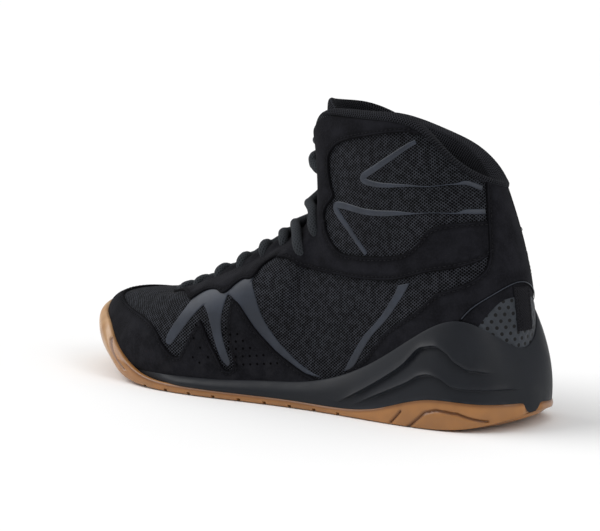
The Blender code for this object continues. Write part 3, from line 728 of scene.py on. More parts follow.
class Graph:
    """A node tree filled by short calls."""

    def __init__(self, tree: Tree) -> None:
        """Starts from a tree."""
        self.tree = tree

    def node(self, kind: str, **settings: object) -> Node:
        """A new node of a kind, with settings.

        Args:
            kind: Its kind.
            **settings: Its values.

        Returns:
            The node.
        """
        made = self.tree.nodes.new("ShaderNode" + kind)
        for name, value in settings.items():
            setattr(made, name, value)
        return made

    def feed(self, target: Socket, value: object) -> None:
        """Links a socket to another, or sets its value.

        Args:
            target: The socket.
            value: Another socket, or a value.
        """
        if isinstance(value, bpy.types.NodeSocket):
            self.tree.links.new(value, target)
        else:
            target.default_value = value

    def filled(self, kind: str, *values: object, **settings: object) -> Node:
        """A new node of a kind with its first inputs fed.

        Args:
            kind: Its kind.
            *values: What feeds the inputs.
            **settings: Its values.

        Returns:
            The node.
        """
        made = self.node(kind, **settings)
        for target, value in zip(made.inputs, values):
            self.feed(target, value)
        return made

    def math(self, operation: str, *values: object) -> Socket:
        """The result of a sum on numbers."""
        return self.filled("Math", *values, operation=operation).outputs[0]

    def vector(self, operation: str, *values: object) -> Socket:
        """The result of a sum on vectors."""
        made = self.filled("VectorMath", *values, operation=operation)
        return made.outputs["Value" if operation == "LENGTH" else "Vector"]

    def step(self, value: object, low: object, high: object, *span: object) -> Socket:
        """A value between low and high brought smoothly to another span, from 0 to 1 if none is given."""
        return self.filled("MapRange", value, low, high, *span, interpolation_type="SMOOTHSTEP").outputs[0]

    def mix(self, share: object, first: object, second: object) -> Socket:
        """A colour between two.

        Args:
            share: Share of the second.
            first: A colour.
            second: A colour.

        Returns:
            The mixed colour.
        """
        made = self.node("Mix", data_type="RGBA")
        for name, value in (("Factor_Float", share), ("A_Color", first), ("B_Color", second)):
            target = next(s for s in made.inputs if s.identifier == name)
            self.feed(target, (*value, 1.0) if isinstance(value, tuple) and len(value) == 3 else value)
        return next(s for s in made.outputs if s.identifier == "Result_Color")

    def noise(self, place: Socket, scale: object, detail: float = 3.0, rough: float = 0.5) -> Socket:
        """Soft noise about a half.

        Args:
            place: Where it is read.
            scale: Its scale.
            detail: Its layers.
            rough: Their weight.

        Returns:
            Its value.
        """
        made = self.node("TexNoise")
        self.feed(made.inputs["Vector"], place)
        self.feed(made.inputs["Scale"], scale)
        made.inputs["Detail"].default_value = detail
        made.inputs["Roughness"].default_value = rough
        return made.outputs[0]

    def place(self) -> Socket:
        """The place in the object."""
        return self.node("TexCoord").outputs["Object"]

    def flat(self) -> Socket:
        """The place on the piece's own flat map."""
        return self.node("UVMap", uv_map="UVMap").outputs[0]

    def use(self, group: Tree, **inputs: object) -> Node:
        """A shared group with inputs by name, spaces written as underscores.

        Args:
            group: The group.
            **inputs: What feeds its inputs.

        Returns:
            The group's node.
        """
        made = self.node("Group", node_tree=group)
        for name, value in inputs.items():
            self.feed(made.inputs[name.replace("_", " ")], value)
        return made


class Effects:
    """Shared groups: each gives only colours, masks, values or normals."""

    @staticmethod
    def group(
        name: str, inputs: dict[str, float | str], outputs: Sequence[str]
    ) -> tuple[Graph, dict[str, Socket], Node]:
        """An empty group.

        Args:
            name: The group's name.
            inputs: Names with their numbers, or with the word vector.
            outputs: Names of the numbers that it gives.

        Returns:
            Its graph, its input sockets by name, and its output node.
        """
        tree = bpy.data.node_groups.new(name, "ShaderNodeTree")
        for label, value in inputs.items():
            kind = "NodeSocketVector" if value == "vector" else "NodeSocketFloat"
            made = tree.interface.new_socket(label, in_out="INPUT", socket_type=kind)
            if value != "vector":
                made.default_value = value
        for label in outputs:
            tree.interface.new_socket(label, in_out="OUTPUT", socket_type="NodeSocketFloat")
        start, end = tree.nodes.new("NodeGroupInput"), tree.nodes.new("NodeGroupOutput")
        return Graph(tree), {s.name: s for s in start.outputs if s.name}, end

    @staticmethod
    def grain() -> Tree:
        """Fine grain with broad patches: a height, and a mask of patches."""
        g, given, end = Effects.group(
            "grain", {"Place": "vector", "Scale": 900.0, "Patch": 60.0}, ["Height", "Patches"]
        )
        fine = g.noise(given["Place"], given["Scale"], 4.0, 0.65)
        broad = g.noise(given["Place"], given["Patch"], 3.0, 0.6)
        g.feed(end.inputs["Height"], g.math("MULTIPLY_ADD", broad, 0.5, fine))
        g.feed(end.inputs["Patches"], g.step(broad, 0.35, 0.68))
        return g.tree

    @staticmethod
    def open_mesh() -> Tree:
        """Holes in rows that stand staggered, as in knitted spacer cloth: a mask of holes, and a height."""
        g, given, end = Effects.group(
            "open_mesh", {"Place": "vector", "Pitch": 1.5, "Hole": 0.45, "Soft": 0.12}, ["Hole", "Height"]
        )
        across = g.math("DIVIDE", 1.0, given["Pitch"])
        upward = g.math("DIVIDE", across, 1.35)
        size = g.filled("CombineXYZ", given["Pitch"], g.math("MULTIPLY", given["Pitch"], 1.35))
        cells = g.vector("MULTIPLY", given["Place"], g.filled("CombineXYZ", across, upward).outputs[0])
        far = []
        for shift in (0.0, 0.5):
            moved = g.vector("FRACTION", g.vector("ADD", cells, (shift, shift, 0.0)))
            inside = g.vector("SUBTRACT", moved, (0.5, 0.5, 0.0))
            far.append(g.vector("LENGTH", g.vector("MULTIPLY", inside, size.outputs[0])))
        away = g.math("MINIMUM", *far)
        low, high = (g.math(kind, given["Hole"], given["Soft"]) for kind in ("SUBTRACT", "ADD"))
        g.feed(end.inputs["Hole"], g.step(away, low, high, 1.0, 0.0))
        g.feed(end.inputs["Height"], g.step(away, low, g.math("MULTIPLY", given["Pitch"], 0.62)))
        return g.tree

    @staticmethod
    def braid() -> Tree:
        """Strands that cross over each other at a slant: a height."""
        g, given, end = Effects.group("braid", {"Place": "vector", "Pitch": 1.6}, ["Height"])
        cut = g.filled("SeparateXYZ", given["Place"])
        turn = g.math("DIVIDE", 2 * math.pi, given["Pitch"])
        slants = [g.math(kind, cut.outputs[0], cut.outputs[1]) for kind in ("ADD", "SUBTRACT")]
        one, two = (g.math("SINE", g.math("MULTIPLY", slant, turn)) for slant in slants)
        g.feed(end.inputs["Height"], g.math("MULTIPLY_ADD", g.math("MAXIMUM", one, two), 0.5, 0.5))
        return g.tree

    @staticmethod
    def dust() -> Tree:
        """Fine dust that gathers low down and on faces that look up: a mask."""
        g, given, end = Effects.group(
            "dust", {"Place": "vector", "Normal": "vector", "Top": 0.05, "Amount": 0.3}, ["Mask"]
        )
        cut, facing = (g.filled("SeparateXYZ", given[name]) for name in ("Place", "Normal"))
        low = g.step(cut.outputs[2], 0.0, given["Top"], 1.0, 0.0)
        up = g.step(facing.outputs[2], 0.1, 0.9)
        spots = g.step(g.noise(given["Place"], 140.0, 6.0, 0.7), 0.45, 0.75)
        most = g.math("MAXIMUM", low, g.math("MULTIPLY", up, 0.6))
        g.feed(end.inputs["Mask"], g.math("MULTIPLY", g.math("MULTIPLY", most, spots), given["Amount"]))
        return g.tree

    @staticmethod
    def wear() -> Tree:
        """Rubbed edges, from how sharply the surface turns: a mask."""
        g, given, end = Effects.group(
            "wear", {"Turn": 0.5, "Start": 0.52, "End": 0.6, "Place": "vector"}, ["Mask"]
        )
        edge = g.step(given["Turn"], given["Start"], given["End"])
        spots = g.step(g.noise(given["Place"], 220.0, 4.0, 0.6), 0.3, 0.7)
        g.feed(end.inputs["Mask"], g.math("MULTIPLY", edge, spots))
        return g.tree

    def __init__(self) -> None:
        """Makes each group once."""
        self.grain_group = self.grain()
        self.mesh_group = self.open_mesh()
        self.braid_group = self.braid()
        self.dust_group = self.dust()
        self.wear_group = self.wear()


@dataclass(frozen=True)
class Finish:
    """A plain dull surface with a fine grain; the other finishes build on it."""

    name: str
    colour: Colour
    roughness: float = 0.8
    grain: float = 1200.0  # Grain size as noise scale per metre
    bump: float = 0.1 * MM  # Height of the grain
    sheen: float = 0.0  # Weight of the soft sheen of fibres
    coat: float = 0.0  # Weight of a clear gloss
    specular: float = 0.12  # Level of the surface's own shine

    def start(self) -> tuple[Material, Graph, Node]:
        """A new material with its constant values set."""
        made = bpy.data.materials.new(self.name)
        made.use_nodes = True
        shader = made.node_tree.nodes["Principled BSDF"]
        constant = {
            "Base Color": (*self.colour, 1.0), "Roughness": self.roughness, "Coat Weight": self.coat,
            "Sheen Weight": self.sheen, "Sheen Roughness": 0.45, "Specular IOR Level": self.specular,
        }
        for name, value in constant.items():
            shader.inputs[name].default_value = value
        return made, Graph(made.node_tree), shader

    def relief(
        self, g: Graph, shader: Node, height: Socket, depth: float, under: Socket | None = None
    ) -> Socket:
        """Feeds a height to the shader's normal as a bump.

        Args:
            g: The material's graph.
            shader: The surface.
            height: The height.
            depth: How high it stands.
            under: The normal of a bump below it.

        Returns:
            The bumped normal.
        """
        bump = g.node("Bump")
        bump.inputs["Strength"].default_value = 1.0
        bump.inputs["Distance"].default_value = depth
        g.feed(bump.inputs["Height"], height)
        if under is not None:
            g.feed(bump.inputs["Normal"], under)
        g.feed(shader.inputs["Normal"], bump.outputs[0])
        return bump.outputs[0]

    def shade(self, colour: Colour, factor: float) -> Colour:
        """A colour made lighter or darker."""
        return tuple(min(1.0, part * factor) for part in colour)

    def mottled(
        self, g: Graph, effects: Effects, patch: float, low: float, high: float
    ) -> tuple[Socket, Node]:
        """A colour that changes in broad patches.

        Args:
            g: The material's graph.
            effects: The shared groups.
            patch: Noise scale of the patches.
            low: Factor of the darkest patches.
            high: Factor of the lightest patches.

        Returns:
            The colour, and the grain that it comes from.
        """
        grain = g.use(effects.grain_group, Place=g.place(), Scale=self.grain, Patch=patch)
        dark, light = self.shade(self.colour, low), self.shade(self.colour, high)
        return g.mix(grain.outputs["Patches"], dark, light), grain

    def make(self, effects: Effects) -> Material:
        """Makes the material.

        Args:
            effects: The shared groups.

        Returns:
            The material.
        """
        made, g, shader = self.start()
        body, grain = self.mottled(g, effects, self.grain / 14, 0.8, 1.25)
        g.feed(shader.inputs["Base Color"], body)
        self.relief(g, shader, grain.outputs["Height"], self.bump)
        return made


@dataclass(frozen=True)
class Suede(Finish):
    """Short nap that lies in patches, a little dusty near the sole, and darker along edges and seams as
    painted shade.
    """

    dusty: Colour = (0.03, 0.029, 0.029)  # Colour of the dust

    def make(self, effects: Effects) -> Material:
        """Makes the material.

        Args:
            effects: The shared groups.

        Returns:
            The material.
        """
        made, g, shader = self.start()
        place = g.place()
        nap, grain = self.mottled(g, effects, 70.0, 0.72, 1.4)
        fibre = g.step(g.noise(place, self.grain * 0.6, 3.0, 0.7), 0.4, 0.72)
        nap = g.mix(g.math("MULTIPLY", fibre, 0.35), nap, self.shade(self.colour, 2.1))
        normal = g.node("NewGeometry").outputs["Normal"]
        dust = g.use(effects.dust_group, Place=place, Normal=normal, Top=0.06, Amount=0.22)
        nap = g.mix(dust.outputs["Mask"], nap, self.dusty)
        # Darker along open edges and in seam troughs, by the points' seam values: painted shade, partly the
        # raw edge's own dark.
        edge = g.math("MULTIPLY", g.node("Attribute", attribute_name="seam").outputs["Fac"], 0.85)
        g.feed(shader.inputs["Base Color"], g.mix(edge, nap, self.shade(self.colour, 0.2)))
        self.relief(g, shader, grain.outputs["Height"], self.bump)
        return made


@dataclass(frozen=True)
class Perforated(Finish):
    """Knitted cloth, or a film, with rows of open holes, dark with the layer behind and painted shade."""

    roughness: float = 0.85
    grain: float = 2500.0
    sheen: float = 0.01
    specular: float = 0.06
    hole: Colour = (0.0009, 0.0009, 0.0011)  # Colour of the holes: the dark layer behind, with painted shade in them
    pitch: float = 1.5  # Distance of the holes, in millimetres of the flat map
    radius: float = 0.47  # Radius of a hole, in the same unit
    depth: float = 0.6 * MM  # How deep the holes look
    soft: float = 0.135  # Half of the width of a hole's blurred edge
    vary: float = 0.0  # How much the holes widen and narrow from patch to patch
    # Noise scale of the colour's patches, and their darkest and lightest factor
    patches: tuple[float, float, float] = (45.0, 0.88, 1.12)

    def make(self, effects: Effects) -> Material:
        """Makes the material.

        Args:
            effects: The shared groups.

        Returns:
            The material.
        """
        made, g, shader = self.start()
        flat = g.flat()
        size: object = self.radius
        if self.vary:
            least, most = self.radius - self.vary, self.radius + self.vary
            size = g.step(g.noise(flat, 0.32, 1.0), 0.36, 0.64, least, most)
        open_ = g.use(effects.mesh_group, Place=flat, Pitch=self.pitch, Hole=size, Soft=self.soft)
        body, grain = self.mottled(g, effects, *self.patches)
        # The holes take the dark layer behind them, with painted shade in them
        g.feed(shader.inputs["Base Color"], g.mix(open_.outputs["Hole"], body, self.hole))
        fine = self.relief(g, shader, grain.outputs["Height"], self.bump)
        self.relief(g, shader, open_.outputs["Height"], self.depth, fine)
        return made


@dataclass(frozen=True)
class Rubber(Finish):
    """Moulded rubber or foam: smooth, with soft mottling, dust and rubbed edges; the gum also has painted
    shade in its grooves and a paler toe of painted highlight and scuffing.
    """

    worn: Colour = (0.6, 0.4, 0.22)  # Colour of the rubbed edges
    dirt: Colour = (0.2, 0.15, 0.1)  # Colour of the dust
    amount: float = 0.3  # How much dust lies on it
    deep: Colour | None = None  # Colour of the painted shade in its grooves and along its rim under the cup
    toe_highlight_and_scuff: Colour | None = None  # Colour of the paler toe end: painted highlight, partly scuffing

    def make(self, effects: Effects) -> Material:
        """Makes the material.

        Args:
            effects: The shared groups.

        Returns:
            The material.
        """
        made, g, shader = self.start()
        place, form = g.place(), g.node("NewGeometry")
        body, grain = self.mottled(g, effects, 38.0, 0.86, 1.1)
        # A paler toe end in patches: painted highlight, partly scuffing
        if self.toe_highlight_and_scuff:
            cut = g.filled("SeparateXYZ", place)
            spots = g.step(g.noise(place, 60.0), 0.2, 0.8)
            body = g.mix(g.math("MULTIPLY", g.step(cut.outputs[0], 0.08, 0.14), spots), body, self.toe_highlight_and_scuff)
        # Painted shade in the grooves and along the rim under the cup's edge, by the points' seam values
        if self.deep:
            body = g.mix(g.node("Attribute", attribute_name="seam").outputs["Fac"], body, self.deep)
        wear = g.use(effects.wear_group, Turn=form.outputs["Pointiness"], Place=place)
        body = g.mix(g.math("MULTIPLY", wear.outputs["Mask"], 0.5), body, self.worn)
        normal = form.outputs["Normal"]
        dust = g.use(effects.dust_group, Place=place, Normal=normal, Top=0.012, Amount=self.amount)
        g.feed(shader.inputs["Base Color"], g.mix(dust.outputs["Mask"], body, self.dirt))
        rough = g.step(grain.outputs["Patches"], 0.0, 1.0, self.roughness - 0.06, self.roughness + 0.06)
        g.feed(shader.inputs["Roughness"], rough)
        self.relief(g, shader, grain.outputs["Height"], self.bump)
        return made


@dataclass(frozen=True)
class Braided(Finish):
    """Braided or twilled yarn along a flat map in millimetres, darker in the hollows between strands and
    lighter on their crowns: painted shade and highlight.
    """

    grain: float = 2500.0
    bump: float = 0.05 * MM
    pitch: float = 1.6  # Distance of the strands
    depth: float = 0.3 * MM  # Their height

    def make(self, effects: Effects) -> Material:
        """Makes the material.

        Args:
            effects: The shared groups.

        Returns:
            The material.
        """
        made, g, shader = self.start()
        braid = g.use(effects.braid_group, Place=g.flat(), Pitch=self.pitch).outputs["Height"]
        grain = g.use(effects.grain_group, Place=g.place(), Scale=self.grain, Patch=90.0)
        # Painted shade in the hollows between strands and painted highlight on their crowns
        dark, light = self.shade(self.colour, 0.45), self.shade(self.colour, 1.35)
        g.feed(shader.inputs["Base Color"], g.mix(braid, dark, light))
        fine = self.relief(g, shader, grain.outputs["Height"], self.bump)
        self.relief(g, shader, braid, self.depth, fine)
        return made


@dataclass
class Palette:
    """All finishes of the shoe, made once."""

    effects: Effects = field(default_factory=Effects)

    def made(self, finish: Finish) -> Material:
        """A finish as a material."""
        return finish.make(self.effects)

    def __post_init__(self) -> None:
        """Makes the materials."""
        self.suede = self.made(
            Suede("suede", (0.0091, 0.0092, 0.0116), 0.95, 1500.0, 0.25 * MM, sheen=0.015, specular=0.05)
        )
        self.mesh = self.made(
            Perforated(
                "mesh_cloth", (0.049, 0.0525, 0.0635), 0.75, pitch=1.6, radius=0.575, soft=0.144, vary=0.06
            )
        )
        self.lining = self.made(Perforated("lining_cloth", (0.033, 0.0345, 0.042)))
        self.tongue = self.made(Perforated("tongue_cloth", (0.034, 0.0355, 0.042)))
        self.film = self.made(Finish("film", (0.021, 0.0262, 0.0385), 0.45, 900.0, 0.04 * MM, specular=0.32))
        self.patch = self.made(
            Perforated(
                "grey_patch", (0.031, 0.0355, 0.043), 0.6, 900.0, 0.06 * MM, sheen=0.0, specular=0.2,
                # Holes near black: the dark suede behind, with painted shade in them
                hole=(0.002, 0.002, 0.0024), pitch=4.8, radius=0.95, depth=0.3 * MM, soft=0.1,
                patches=(60.0, 0.85, 1.15),
            )
        )
        self.foam = self.made(
            Rubber(
                "charcoal_foam", (0.0088, 0.0105, 0.0145), 0.55, 1800.0, 0.06 * MM, specular=0.24,
                worn=(0.024, 0.027, 0.033), dirt=(0.04, 0.039, 0.038), amount=0.1,
            )
        )
        self.gum = self.made(
            Rubber(
                "gum_rubber", (0.345, 0.15, 0.042), 0.4, 1400.0, 0.05 * MM, coat=0.1, specular=0.45,
                worn=(0.42, 0.25, 0.13), dirt=(0.16, 0.1, 0.06), amount=0.16,
                # Painted shade for the grooves and the rim under the cup, and a paler toe: painted highlight,
                # partly scuffing
                deep=(0.12, 0.04, 0.009), toe_highlight_and_scuff=(0.58, 0.39, 0.21),
            )
        )
        self.webbing = self.made(Braided("webbing", (0.0115, 0.0115, 0.0138), pitch=1.4, specular=0.05))
        self.lace = self.made(
            Braided("lace_cord", (0.03, 0.033, 0.0375), sheen=0.02, pitch=1.7, specular=0.06)
        )
        self.insole = self.made(Finish("insole_foam", (0.012, 0.012, 0.014), 0.9, 900.0, 0.15 * MM))
        self.thread = self.made(
            Finish("thread", (0.011, 0.011, 0.013), 0.7, 3000.0, 0.05 * MM, specular=0.06)
        )
        # Near black dishes for the punched holes and eyelets: painted shade in the holes
        self.dark = self.made(Finish("hole_shade", (0.0012, 0.0012, 0.0014), 0.9, specular=0.02))
        self.floor = Finish("floor", (0.93, 0.93, 0.93), 0.7, specular=0.1).start()[0]


# Sole


@dataclass
class Sole:
    """Gum outsole, charcoal cup and insole."""

    last: Last
    samples: int = 32  # Sections between two rows
    plate: float = 3.2 * MM  # Thickness of the gum plate
    rim_inset: float = 3.0 * MM  # How far the cup stands in the gum rim
    lip: float = 2.8 * MM  # Thickness of the toe bumper at its top
    # Small step of the gum's side from the sole's edge, and of the rim's foot over the plate
    slack: float = 0.3 * MM
    arris: float = 0.8 * MM  # Height of the tread's rounded edge
    clear: float = 0.6 * MM  # Clearance between the toe bumper and the wall
    # How far the tread lies in, and how much more under the toe bumper
    tread_inset: Point2 = (2.2 * MM, 2.6 * MM)
    bumper_rows: Point2 = (3.0, 2.2)  # Rows from the toe tip at which the bumper starts and is full
    bumper: float = 9.0 * MM  # How far the handle of the toe bumper's curve stands out
    belly: float = 1.2 * MM  # How far the cup's side bows out
    crest: float = 1.2 * MM  # How far a wave's crest stands out of the cup's side
    trough: float = 1.2 * MM  # How far the side lies back under a crest
    groove_depth: float = 1.0 * MM  # Depth of the moulded grooves in the gum's side
    notch: Point2 = (0.05, 0.16)  # Row of the notch at the heel's back, and half of its width in rows
    flex: Point2 = (-52.0, 15.5)  # Place of the first groove underneath and step to the next, in millimetres
    # Rows and shares of the gum's height on each groove
    gum_grooves: tuple[tuple[Point2, ...], ...] = (
        ((2.72, 0.12), (2.5, 0.68)),
        ((2.35, 0.0), (2.0, 0.58), (1.76, 0.68), (1.35, 0.6), (0.85, 0.23)),
        ((9.74, 0.99), (9.58, 0.87), (9.18, 0.55)),
    )
    # Rows and heights, in millimetres, of the upper crest
    high_wave: tuple[Point2, ...] = (
        (0.6, 30.0), (0.79, 30.4), (0.99, 31.3), (1.16, 32.1), (1.28, 33.7), (1.43, 36.4), (1.53, 39.5),
        (1.72, 42.4), (1.82, 42.8), (1.93, 42.2), (2.15, 40.1), (2.53, 30.1), (3.29, 17.1), (4.15, 5.4),
    )
    # The same of the lower crest
    low_wave: tuple[Point2, ...] = (
        (0.2, 21.2), (0.36, 21.5), (0.6, 22.0), (0.84, 21.9), (1.05, 22.2), (1.3, 22.5), (1.46, 23.2),
        (1.55, 24.5), (1.68, 26.8), (1.88, 28.4), (2.12, 27.1), (2.38, 22.8), (2.92, 15.8), (3.66, 6.7),
    )

    @cached_property
    def u(self) -> Array:
        """Rows once round the shoe."""
        return np.arange(ROWS * self.samples) / self.samples

    def toe_share(self, start: float, end: float) -> Array:
        """A share that grows towards the toe tip over a span of rows."""
        away = np.abs(self.u - TOE)
        return 1 - smooth_step(end, start, away)

    def wall_at(self, height: Array, lift: float) -> Array:
        """Points at a height, lifted off the wall's lower part."""
        share = self.last.share_at(self.u, height)
        return self.last.sample(self.last.grid, self.u, share) + self.last.normal(self.u, share) * lift

    def wrapped(self, inset: float, height: Array, lift: float, share: Array) -> Array:
        """A loop that goes over from the sole's edge to the wall.

        Args:
            inset: Its distance from the sole's edge.
            height: Its height at each row.
            lift: Its distance from the wall.
            share: How far it has gone over at each row.

        Returns:
            The loop's points.
        """
        loop = self.last.edge_point(self.u, inset, height)
        return loop + (self.wall_at(height, lift) - loop) * share[:, None]

    def inward(self, loop: Array, share: float, height: Array) -> Array:
        """A loop drawn in towards the shoe's middle line.

        Args:
            loop: Points round the shoe.
            share: Share of the width that is left.
            height: New heights.

        Returns:
            The drawn loop.
        """
        middle = (loop + np.roll(loop[::-1], 1, axis=0)) / 2
        drawn = middle + (loop - middle) * share
        drawn[:, 2] = height
        return drawn

    def middle_ring(self, height: Array) -> Array:
        """A loop well inside the sole's edge."""
        return self.inward(self.last.edge_point(self.u, 10 * MM, height), 0.8, height)

    def loft(self, name: str, loops: Sequence[Array]) -> Piece:
        """A body through loops, closed at both ends by strips from side to side.

        Args:
            name: The piece's name.
            loops: Loops of points round the shoe.

        Returns:
            The new object.
        """
        count = len(loops[0])
        i = np.arange(count)
        j = (i + 1) % count
        faces = []
        for low in range(0, (len(loops) - 1) * count, count):
            faces += np.stack([low + i, low + j, low + count + j, low + count + i], axis=1).tolist()
        for end in (0, (len(loops) - 1) * count):
            for k in range(count // 2):
                corners = [end + k, end + k + 1, end + count - 1 - k, end + -k % count]
                faces.append(list(dict.fromkeys(corners)))
        return face_out(mesh_piece(name, np.vstack(loops), faces))

    @cached_property
    def away(self) -> Array:
        """Rows counted from the heel on either side."""
        return np.minimum(self.u, ROWS - self.u)

    @cached_property
    def cut(self) -> Array:
        """How far the notch at the heel's back parts the gum, from 0 to 1."""
        off = np.mod(self.u - self.notch[0] + TOE, ROWS) - TOE
        return np.exp(-((off / self.notch[1]) ** 4))

    def wave(self, points: tuple[Point2, ...]) -> Array:
        """Heights of a wave's line, the same on both sides."""
        line = rounded(points, 8)
        return np.interp(self.away, line[:, 0], line[:, 1] * MM)

    def set_back(self, over: Array) -> Array:
        """How far the cup's side lies back, by the height over a wave's line.

        Args:
            over: Height over the line at each row.

        Returns:
            The step back at each row.
        """
        above = -self.crest * np.exp(-np.maximum(over, 0) / (1.4 * MM))
        edge = 1.0 * MM
        below = self.crest + self.trough * np.exp(np.minimum(over + edge, 0) / (7 * MM))
        return above + smooth_step(0.0, -edge, over) * below

    def groove(self, share: Array) -> Array:
        """Depth of the gum's grooves at shares of the gum's height, one for each row.

        Args:
            share: A share for each row.

        Returns:
            The depth at each row.
        """
        depth = np.zeros(len(self.u))
        scale = np.array([22.0, 12.0])
        for line in self.gum_grooves:
            path = np.array(line) * scale
            for rows in (self.u, ROWS - self.u):
                place = np.stack([rows, share], axis=1) * scale
                away = np.full(len(rows), 9.0)
                for start, end in zip(path, path[1:]):
                    run = end - start
                    f = np.clip(((place - start) @ run) / (run @ run), 0, 1)
                    away = np.minimum(away, np.linalg.norm(place - start - f[:, None] * run, axis=1))
                depth = np.maximum(depth, np.exp(-((away / 0.65) ** 4)))
        return depth * self.groove_depth

    def gum_loops(self) -> tuple[list[Array], list[Array]]:
        """The gum from its underside up the side and down inside its rim.

        Returns:
            Loops of points, and how dark the points of each are.
        """
        last, u = self.last, self.u
        wrap, out = self.toe_share(*self.bumper_rows), last.outward(u)
        floor, gum, cup = last.floor(u), last.heights["gum"](u), last.heights["cup"](u)
        plate = floor + self.plate
        foot = plate + self.slack
        halfway = foot + 0.55 * (gum - foot)
        covered = np.maximum(halfway, np.minimum(cup + 0.7 * MM, gum - 0.35 * MM))
        halfway = np.where(cup < gum, covered, halfway)
        tread = last.edge_point(u, self.tread_inset[0] + self.tread_inset[1] * wrap, floor)
        outer = last.edge_point(u, self.slack, floor + self.arris)
        top = self.wrapped(self.slack, gum, self.clear + self.lip, wrap)
        inner = self.wrapped(self.rim_inset, gum, self.clear, wrap)
        deep = self.wrapped(self.rim_inset, halfway, self.clear, wrap)
        under = np.maximum(floor * 0.85 - 0.6 * MM, 0)
        under += (floor - under) * self.toe_share(2.2, 0.3)
        loops = [self.inward(tread, 0.7, under), tread]
        dark = [np.zeros(len(u))] * len(loops)
        bow = (outer + top) / 2 + out * 0.8 * MM
        handle = (tread + top) / 2 + out * self.bumper + np.array([0, 0, 3.2 * MM])
        turn = [np.array([math.sin(math.pi * f / 2)] * 2 + [f**2]) for f in (0.35, 0.7, 0.9)]
        steps = [tread + (outer - tread) * share for share in turn]
        steps += [outer * (1 - f) ** 2 + 2 * bow * f * (1 - f) + top * f**2 for f in np.linspace(0, 1, 22)]
        for k, level in enumerate(steps):
            f = (k + 1) / len(steps)
            bumper = tread * (1 - f) ** 2 + 2 * handle * f * (1 - f) + top * f**2
            level = level + (bumper - level) * wrap[:, None]
            groove = self.groove((level[:, 2] - floor) / np.maximum(gum - floor, 1e-6))
            loops.append(level - out * (groove + self.cut * 1.5 * MM)[:, None])
            # Painted shade along the top edge, where the cup covers the gum, and in the grooves
            rim = np.exp(-(((gum - level[:, 2]) / (1.1 * MM)) ** 2)) * (1 - wrap)
            dark.append(np.maximum(groove / self.groove_depth, 0.8 * rim))
        for f, rise in ((0.15, 0.35 * MM), (0.5, 0.5 * MM)):
            loops.append(top + (inner - top) * f + np.array([0, 0, rise]))
        loops += [inner, deep, last.edge_point(u, self.rim_inset + 1.2 * MM * wrap, foot)]
        loops.append(self.middle_ring(plate))
        return loops, dark + [np.zeros(len(u))] * (len(loops) - len(dark))

    def outsole(self, palette: Palette) -> Piece:
        """Gum plate with toe bumper, raised heel rim, side grooves and flex grooves underneath.

        Args:
            palette: The finishes.

        Returns:
            The new piece.
        """
        loops, dark = self.gum_loops()
        piece = self.loft("outsole_gum", loops)
        # The seam values: painted shade in the grooves and under the cup's edge
        point_values(piece, "seam", np.concatenate(dark))
        cutters = []
        for number in range(9):
            along = (self.flex[0] + self.flex[1] * number) * MM
            bpy.ops.mesh.primitive_cube_add(size=1, location=(along, 0, 0))
            cutter = bpy.context.object
            cutter.scale = (2.0 * MM, 0.2, 3.2 * MM)
            cutters.append(settle(cutter))
        cutter = joined(cutters, "groove_cutter")
        modify(piece, "BOOLEAN", operation="DIFFERENCE", object=cutter, solver="EXACT")
        bpy.data.objects.remove(cutter)
        smoothed(piece, 38)
        return finished(piece, palette.gum, "gum_rubber", "outsole")

    @staticmethod
    def crest_levels(ledge: Array, low: Array, high: Array, cup: Array) -> list[Array]:
        """Heights of the loops up the cup's side, close together at the two crests.

        Args:
            ledge: Height of the side's foot.
            low: Height of the lower crest.
            high: Height of the upper crest.
            cup: Height of the side's top.

        Returns:
            The heights, from the foot up.
        """
        fine = np.minimum(1.0 * MM, np.minimum(np.minimum(low - ledge, high - low), cup - high) / 4)
        near = (-1.7, -1.1, -0.8, -0.55, -0.3, 0.0, 0.35, 0.9, 1.7)
        reach = near[-1] * fine
        levels = [ledge + (low - reach - ledge) * f for f in (0.04, 0.3, 0.6, 0.85)]
        levels += [low + fine * d for d in near]
        levels += [low + reach + (high - low - 2 * reach) * f for f in (0.2, 0.4, 0.6, 0.8)]
        levels += [high + fine * d for d in near]
        return levels + [high + reach + (cup - high - reach) * f for f in (0.2, 0.4, 0.6, 0.8, 0.93)]

    def midsole(self, palette: Palette) -> Piece:
        """Charcoal cup with two waves on its side: a proud crest along each, the side set back under it.

        Args:
            palette: The finishes.

        Returns:
            The new piece.
        """
        last, u = self.last, self.u
        gap = last.gap
        cover, sink = self.toe_share(4.2, 3.4), self.toe_share(3.4, 2.9)
        plate = last.floor(u) + self.plate
        cup, seat = last.heights["cup"](u), last.heights["seat"](u)
        hidden = self.rim_inset + gap * (1 + 1.5 * sink)
        sunk = plate + 0.65 * MM
        ledge = last.heights["gum"](u) + gap
        ledge += (sunk + 0.3 * (cup - sunk) - ledge) * sink
        height = cup - ledge
        low = np.clip(self.wave(self.low_wave), ledge + 0.06 * height, ledge + 0.6 * height)
        high = np.clip(self.wave(self.high_wave), low + 0.06 * height, ledge + 0.9 * height)
        inset = 0.5 * MM + (hidden - 0.5 * MM) * cover
        foot = last.edge_point(u, inset, ledge)
        heel = last.edge_point(u, inset, ledge - self.cut * (ledge - last.floor(u) - self.arris))
        top = self.wall_at(cup, gap + 1.6 * MM)
        top += (last.edge_point(u, hidden, cup) - top) * cover[:, None]
        middle = last.edge_point(u, hidden * cover - self.belly * (1 - cover), (ledge + cup) / 2)
        out = last.outward(u)
        full = smooth_step(4 * MM, 16 * MM, height)
        back = np.where(u < TOE, 0.0, 0.8)
        low_share = full * smooth_step(0.25, 0.6, self.away - back) * (1 - smooth_step(3.0, 3.7, self.away))
        high_share = full * smooth_step(0.7, 1.05, self.away - back) * (1 - smooth_step(3.4, 4.2, self.away))
        loops = [self.middle_ring(plate + gap)]
